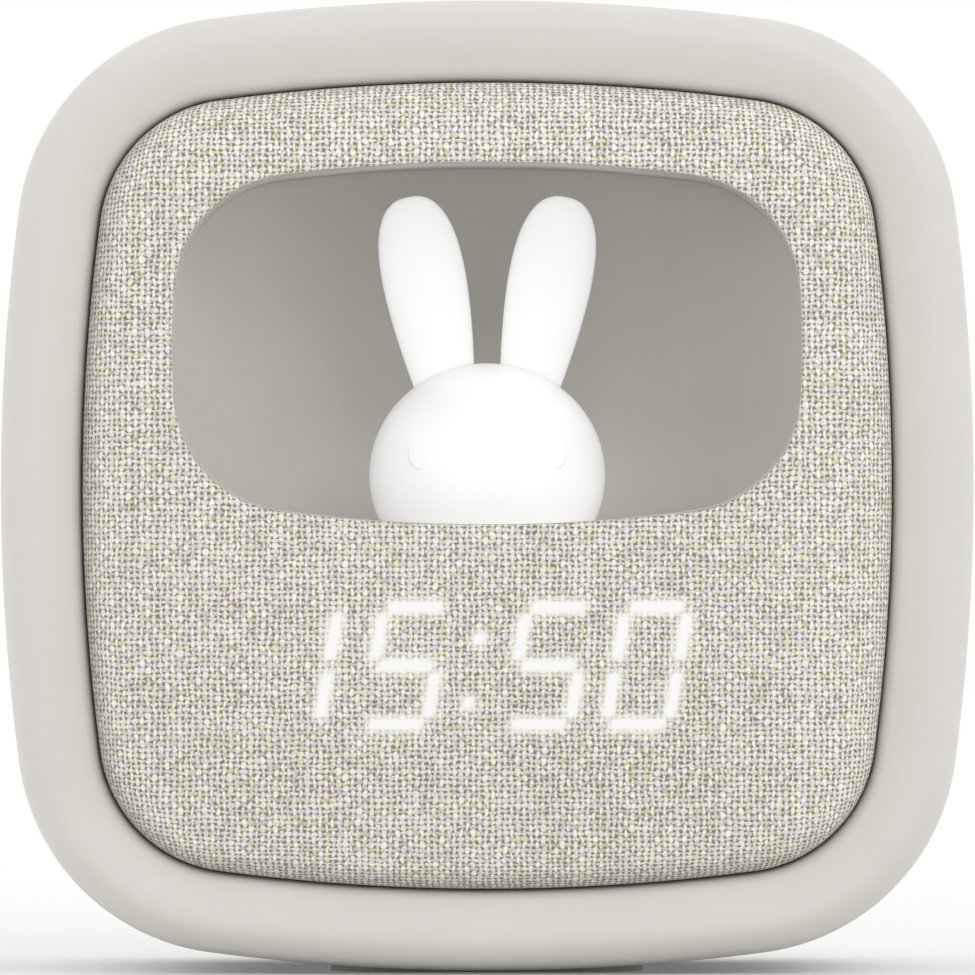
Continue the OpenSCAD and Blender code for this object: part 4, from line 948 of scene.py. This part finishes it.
def head_light(v):
    """The head's light, with painted shade to its lower left and base and painted light to its top and right;
    its lower back gives more light.
    """
    x, y, z = v.co.x / HEAD_RX, (LAMP_Y - v.co.y) / HEAD_RX, (v.co.z - HEAD_Z) / HEAD_RZ
    low_left = unit((-0.75 * x - 0.65 * z - 0.25) / 0.6)
    high = unit((0.3 * x + 0.9 * z - 0.45) / 0.5)
    right = unit((x - 0.1) / 0.5)
    low_back = unit(-2.5 * y - 0.25) * unit(0.8 - 1.2 * z)
    level = light_level(y / math.hypot(x / HEAD_RX, y / HEAD_RX, z / HEAD_RZ) / HEAD_RX)
    low = unit((-z - 0.05) / 0.3)
    return level * (1 - 0.12 * low_left + 0.22 * high + 0.05 * right - 0.06 * low) + 0.65 * low_back


class CLOCK_OT_shape_rabbit(bpy.types.Operator):
    """Shape the lit rabbit: a round head with raised oval eyes and two ears"""
    bl_idname = "clock.shape_rabbit"
    bl_label = "Shape the rabbit"

    def execute(self, context):
        rabbit = context.scene.clock_rabbit
        milk = rabbit_finish(rabbit)
        self.shape_head(rabbit, milk)
        for side, node in ((-1, "rabbit_ear_left"), (1, "rabbit_ear_right")):
            self.shape_ear(side, node, milk)
        return {"FINISHED"}

    def shape_head(self, rabbit, milk):
        cut = math.degrees(math.asin((FLOOR_Z - HEAD_Z) / HEAD_RZ))
        profile = arc((0, 0), (HEAD_RX, HEAD_RZ), np.linspace(90, cut, 64))
        edge = (profile[-1][0], FLOOR_Z - HEAD_Z)
        inner_x, inner_z = HEAD_RX - HEAD_T, HEAD_RZ - HEAD_T
        low = FLOOR_Z + 2 - HEAD_Z
        stop = math.degrees(math.asin(low / inner_z))
        profile += [(SPIGOT_R, edge[1]), (SPIGOT_R, FLOOR_Z - 6 - HEAD_Z),
                    (SPIGOT_R - SPIGOT_T, FLOOR_Z - 6 - HEAD_Z), (SPIGOT_R - SPIGOT_T, low)]
        profile += arc((0, 0), (inner_x, inner_z), np.linspace(stop, 90, 24))
        profile[0], profile[-1] = (0.0, HEAD_RZ), (0.0, inner_z)
        bm = bmesh.new()
        light = bm.verts.layers.float.new("light")
        chain = [bm.verts.new((x, LAMP_Y, HEAD_Z + z)) for x, z in profile]
        edges = [bm.edges.new(pair) for pair in zip(chain, chain[1:])]
        bmesh.ops.spin(bm, geom=chain + edges, cent=(0, LAMP_Y, HEAD_Z), axis=(0, 0, 1),
                       angle=math.tau, steps=96, use_merge=True)
        bmesh.ops.remove_doubles(bm, verts=bm.verts, dist=1e-4)
        bmesh.ops.recalc_face_normals(bm, faces=bm.faces)
        # The base follows the gently curved floor
        for v in bm.verts:
            if abs(v.co.z - FLOOR_Z) < 0.01:
                v.co.z += MOUTH_BASE_R - math.sqrt(MOUTH_BASE_R ** 2 - v.co.x ** 2)
        mark_creases(bm, 40)
        bm.normal_update()
        for v in bm.verts:
            v[light] = head_light(v)
        # Each eye is a low oval cap whose outer and lower side stands clear of the head
        for side in (-1, 1):
            self.add_eye(bm, light, side, rabbit.eye_height / MM)
        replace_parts(make_piece(bm, "rabbit_head_shade", milk), "rabbit_head")

    def add_eye(self, bm, light, side, raised):
        segments = 48

        def on_head(x, z, out):
            rx, rz = HEAD_RX + out, HEAD_RZ + out
            y = math.sqrt(max(1 - (x / rx) ** 2 - (z / rz) ** 2, 0.0)) * rx
            return (x, LAMP_Y - y, HEAD_Z + z)

        def place(share, k, out):
            t = math.tau * k / segments
            x, z = side * EYE_X + EYE_RX * share * math.cos(t), EYE_UP + EYE_RZ * share * math.sin(t)
            return on_head(x, z, out)

        def lift(k):
            t = math.tau * k / segments
            return 0.5 + 0.5 * math.cos(t - math.radians(-48 if side > 0 else 228))

        before = set(bm.verts)
        root = ring_of(bm, [place(1.03, k, -0.4) for k in range(segments)])
        wall = pull_ring(bm, root, [place(1.0, k, raised * lift(k) - 0.03) for k in range(segments)])
        ring, line = wall, [root, wall]
        for share in (0.96, 0.90, 0.82, 0.7, 0.5, 0.25):
            top = [raised * (lift(k) * share + 0.5 * (1 - share)) * 0.92 for k in range(segments)]
            ring = pull_ring(bm, ring, [place(share, k, top[k]) for k in range(segments)])
            if share > 0.88:
                line.append(ring)
        bmesh.ops.contextual_create(bm, geom=ring)
        fresh = [v for v in bm.verts if v not in before]
        faces = {f for v in fresh for f in v.link_faces}
        for f in faces:
            f.smooth = True
            f.normal_update()
            if f.normal.y > 0.2 and f.calc_center_median().y < LAMP_Y:
                f.normal_flip()
        for e in edges_between(bm, wall, 2):
            e.smooth = False
        bm.normal_update()
        # Painted shade along the outer and lower rim of each eye
        edge = {v: k for ring in line for k, v in enumerate(ring)}
        rim = 0.18 if side > 0 else 0.24
        for v in fresh:
            v[light] = head_light(v) * (1 - rim * lift(edge[v]) ** 4 if v in edge else 1.0)

    def shape_ear(self, side, node, milk):
        wide_up = EAR_TIP_UP - EAR_TIP_H
        lean = math.radians(side * EAR_LEAN)
        segments = 56

        def ring_at(f):
            if f > 0:
                half = EAR_HALF * max(1 - f ** 2.5, 0.0) ** 0.4
                up = wide_up + EAR_TIP_H * f
            else:
                half = EAR_HALF - EAR_NECK * (-f) ** 1.6
                up = wide_up + (wide_up - EAR_BASE_UP) * f
            places = []
            for k in range(segments):
                t = math.tau * k / segments
                x, y, z = half * math.cos(t), -EAR_FLAT * half * math.sin(t), up
                places.append((side * EAR_ROOT_X + x * math.cos(lean) + z * math.sin(lean),
                               LAMP_Y + EAR_ROOT_Y + y,
                               HEAD_Z - x * math.sin(lean) + z * math.cos(lean)))
            return places

        bm = bmesh.new()
        light = bm.verts.layers.float.new("light")
        stations = [*np.linspace(-1, -0.55, 30)[:-1], *np.linspace(-0.55, 0, 9),
                    *(1 - (1 - s) ** 2.2 for s in np.linspace(0, 0.94, 24)[1:])]
        ring = first = ring_of(bm, ring_at(stations[0]))
        for f in stations[1:]:
            ring = pull_ring(bm, ring, ring_at(f))
        tip = bmesh.ops.contextual_create(bm, geom=ring)["faces"]
        bmesh.ops.poke(bm, faces=tip)
        bmesh.ops.contextual_create(bm, geom=first)
        bmesh.ops.recalc_face_normals(bm, faces=bm.faces)
        mark_creases(bm, 60)
        bm.normal_update()
        for v in bm.verts:
            # The ears' light carries painted shade in the crease against the head, a little on the outer side
            # and towards the tip
            up = (v.co.z - HEAD_Z) / EAR_TIP_UP
            outer = max(0.0, v.normal.x * side)
            off = HEAD_RZ * (math.hypot(v.co.x / HEAD_RX, (v.co.y - LAMP_Y) / HEAD_RX,
                                        (v.co.z - HEAD_Z) / HEAD_RZ) - 1)
            painted_crease_shade = math.exp(-max(off, 0.0) / 0.15)
            v[light] = (light_level(-v.normal.y) * (1 - 0.05 * outer) * (1 - 0.22 * painted_crease_shade)
                        * (1.03 - 0.03 * up))
        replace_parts(make_piece(bm, node.replace("rabbit_", "lit_"), milk), node)


class CLOCK_OT_finish_insides(bpy.types.Operator):
    """Give the lamp, the display, the boards, the speaker and the battery their finishes"""
    bl_idname = "clock.finish_insides"
    bl_label = "Finish the insides"

    def execute(self, context):
        dress(board_finish(), "main_board", "display_board", "lamp_board")
        dress(moulded("chip_plastic", (0.02, 0.02, 0.021), 0.5),
              "board_chips", "tact_switches", "alarm_switch")
        dress(moulded("plunger_plastic", (0.035, 0.035, 0.037), 0.4),
              *(f"{name}_plunger" for name in BUTTONS))
        dress(moulded("white_plastic", (0.84, 0.83, 0.8), 0.5),
              "display_reflector", "board_connectors", "lamp_collar")
        dress(moulded("diffusing_film", (0.72, 0.71, 0.68), 0.5, 0.0002), "display_film")
        dress(moulded("tray_plastic", (0.28, 0.27, 0.26), 0.55), "battery_tray")
        dress(plated("basket_steel", (0.33, 0.34, 0.35), 0.4), "speaker_frame", "speaker_magnet")
        for node, name, colour in (("battery_lead", "red_sheath", (0.45, 0.03, 0.025)),
                                   ("speaker_lead", "black_sheath", (0.03, 0.03, 0.032)),
                                   ("lamp_lead", "white_sheath", (0.75, 0.73, 0.68)),
                                   ("display_ribbon", "grey_ribbon", (0.55, 0.54, 0.5))):
            dress(lead_finish(name, colour), node)
        phosphor = Recipe("led_phosphor")
        spot = phosphor.noise(0.0012, 2.0)
        dress(phosphor.shade(Base_Color=phosphor.tint(spot, (0.9, 0.72, 0.2), (0.95, 0.85, 0.45)),
                             Roughness=phosphor.span(spot, 0.3, 0.7, 0.25, 0.4)), "lamp_leds", "display_leds")
        guide = Recipe("light_guide")
        haze = guide.noise(0.002, 2.0)
        dress(guide.shade(Base_Color=guide.tint(haze, (0.9, 0.9, 0.9), (0.97, 0.97, 0.97)), Roughness=0.3,
                          Emission_Color=(1.0, 1.0, 0.98),
                          Emission_Strength=guide.span(haze, 0.3, 0.7, 0.5, 0.6)), "display_segments")
        foil = Recipe("cell_foil")
        crease = foil.noise(0.004, 4.0, rough=0.6)
        dress(foil.shade(Base_Color=foil.tint(crease, (0.62, 0.62, 0.63), (0.78, 0.78, 0.79)), Metallic=0.9,
                         Roughness=foil.span(crease, 0.3, 0.7, 0.28, 0.45),
                         Normal=foil.bump(crease, 0.0002, 0.6)), "battery_cell")
        paper = Recipe("cone_paper")
        pulp = paper.noise(0.0007, 4.0, rough=0.7)
        dress(paper.shade(Base_Color=paper.tint(pulp, (0.018, 0.018, 0.019), (0.045, 0.045, 0.046)),
                          Roughness=0.85, Normal=paper.bump(pulp, 0.00005, 0.8)), "speaker_cone")
        return {"FINISHED"}


# ------------------------------------------------------------------ stage


class CLOCK_OT_set_stage(bpy.types.Operator):
    """Set the pale floor, the soft lamps and the camera"""
    bl_idname = "clock.set_stage"
    bl_label = "Set the stage"

    def execute(self, context):
        scene, stage = context.scene, context.scene.clock_stage
        scene.view_settings.view_transform = "Standard"
        camera = bpy.data.cameras.new("clock_camera")
        camera.lens, camera.sensor_width = 525.0, 36.0
        camera.clip_start, camera.clip_end = 0.05, 30.0
        view = self.place("clock_camera", camera, (0.00004, -1.9317, 0.06495))
        view.rotation_euler = (math.pi / 2, 0, 0)
        scene.camera = view

        light = bpy.data.lights.new("key_lamp", "AREA")
        light.shape, light.size, light.energy = "DISK", 1.2, stage.key
        lamp, aim = self.place("key_lamp", light, (0.75, -1.35, 1.25)), Vector((0, 0, 0.065))
        lamp.rotation_euler = (aim - lamp.location).to_track_quat("-Z", "Y").to_euler()

        bm = bmesh.new()
        bmesh.ops.create_circle(bm, cap_ends=True, segments=96, radius=6.0)
        mesh = bpy.data.meshes.new("floor")
        bm.to_mesh(mesh)
        bm.free()
        mesh.materials.append(self.floor_finish(stage))
        self.place("floor", mesh)

        # The room is dimmer on the camera's side than round the pale backdrop
        world = scene.world = bpy.data.worlds.new("pale_room")
        world.use_nodes = True
        room = Nodes(world.node_tree)
        tilt = room.vector("DOT_PRODUCT", room.node("TexCoord").outputs["Generated"], (-0.4, 1.0, 0.0))
        level = room.span(tilt, -0.8, 0.2, stage.room, stage.backdrop, "SMOOTHSTEP")
        room.join(room.seen(), room.node("Background", Color=WHITE, Strength=level),
                  room.node("Background", Color=WHITE, Strength=1.0), room.node("OutputWorld"))
        return {"FINISHED"}

    def place(self, name, data, spot=(0, 0, 0)):
        """Puts a thing of the stage into the scene."""
        thing = bpy.data.objects.new(name, data)
        bpy.context.scene.collection.objects.link(thing)
        thing.location = spot
        return thing

    def floor_finish(self, stage):
        """A pale floor that keeps the clock's shadow and is plain white further away."""
        r = Recipe("pale_floor")
        away = r.span(r.vector("LENGTH", r.place), 0.10, 0.50, 0.13, 1.0, "SMOOTHSTEP")
        matt = r.node("BsdfPrincipled", Base_Color=stage.floor, Roughness=0.8, Specular_IOR_Level=0.1)
        glow = r.node("Emission", Color=WHITE, Strength=1.0)
        r.join(r.times(away, r.seen()), matt, glow, r.end)
        return r.material


# ------------------------------------------------------------------ add-on


class CLOCK_PT_parts(bpy.types.Panel):
    """Sizes, colours and steps of the bedside clock"""
    bl_label = "Bedside clock"
    bl_idname = "CLOCK_PT_parts"
    bl_space_type = "VIEW_3D"
    bl_region_type = "UI"
    bl_category = "Bedside clock"

    def draw(self, context):
        for group, step in STEPS:
            box = self.layout.box()
            if group:
                settings = getattr(context.scene, group)
                for name in settings.__annotations__:
                    box.prop(settings, name)
            box.operator(step)


GROUPS = {
    "clock_shell": ClockShellSettings,
    "clock_fabric": ClockFabricSettings,
    "clock_alcove": ClockAlcoveSettings,
    "clock_rabbit": ClockRabbitSettings,
    "clock_display": ClockDisplaySettings,
    "clock_stage": ClockStageSettings,
}
STEPS = (
    ("clock_stage", "clock.set_stage"),
    ("clock_shell", "clock.mould_shell"),
    (None, "clock.fit_rear"),
    ("clock_fabric", "clock.stretch_fabric"),
    ("clock_alcove", "clock.form_alcove"),
    ("clock_rabbit", "clock.shape_rabbit"),
    ("clock_display", "clock.finish_insides"),
)
CLASSES = (
    *GROUPS.values(), CLOCK_OT_set_stage, CLOCK_OT_mould_shell, CLOCK_OT_fit_rear,
    CLOCK_OT_stretch_fabric, CLOCK_OT_form_alcove, CLOCK_OT_shape_rabbit, CLOCK_OT_finish_insides,
    CLOCK_PT_parts,
)


def register():
    for cls in CLASSES:
        bpy.utils.register_class(cls)
    for name, cls in GROUPS.items():
        setattr(bpy.types.Scene, name, bpy.props.PointerProperty(type=cls))


def unregister():
    for name in GROUPS:
        delattr(bpy.types.Scene, name)
    for cls in reversed(CLASSES):
        bpy.utils.unregister_class(cls)


def main():
    register()
    for _, step in STEPS:
        group, name = step.split(".")
        getattr(getattr(bpy.ops, group), name)()
    bpy.context.view_layer.update()


if __name__ == "__main__":
    main()
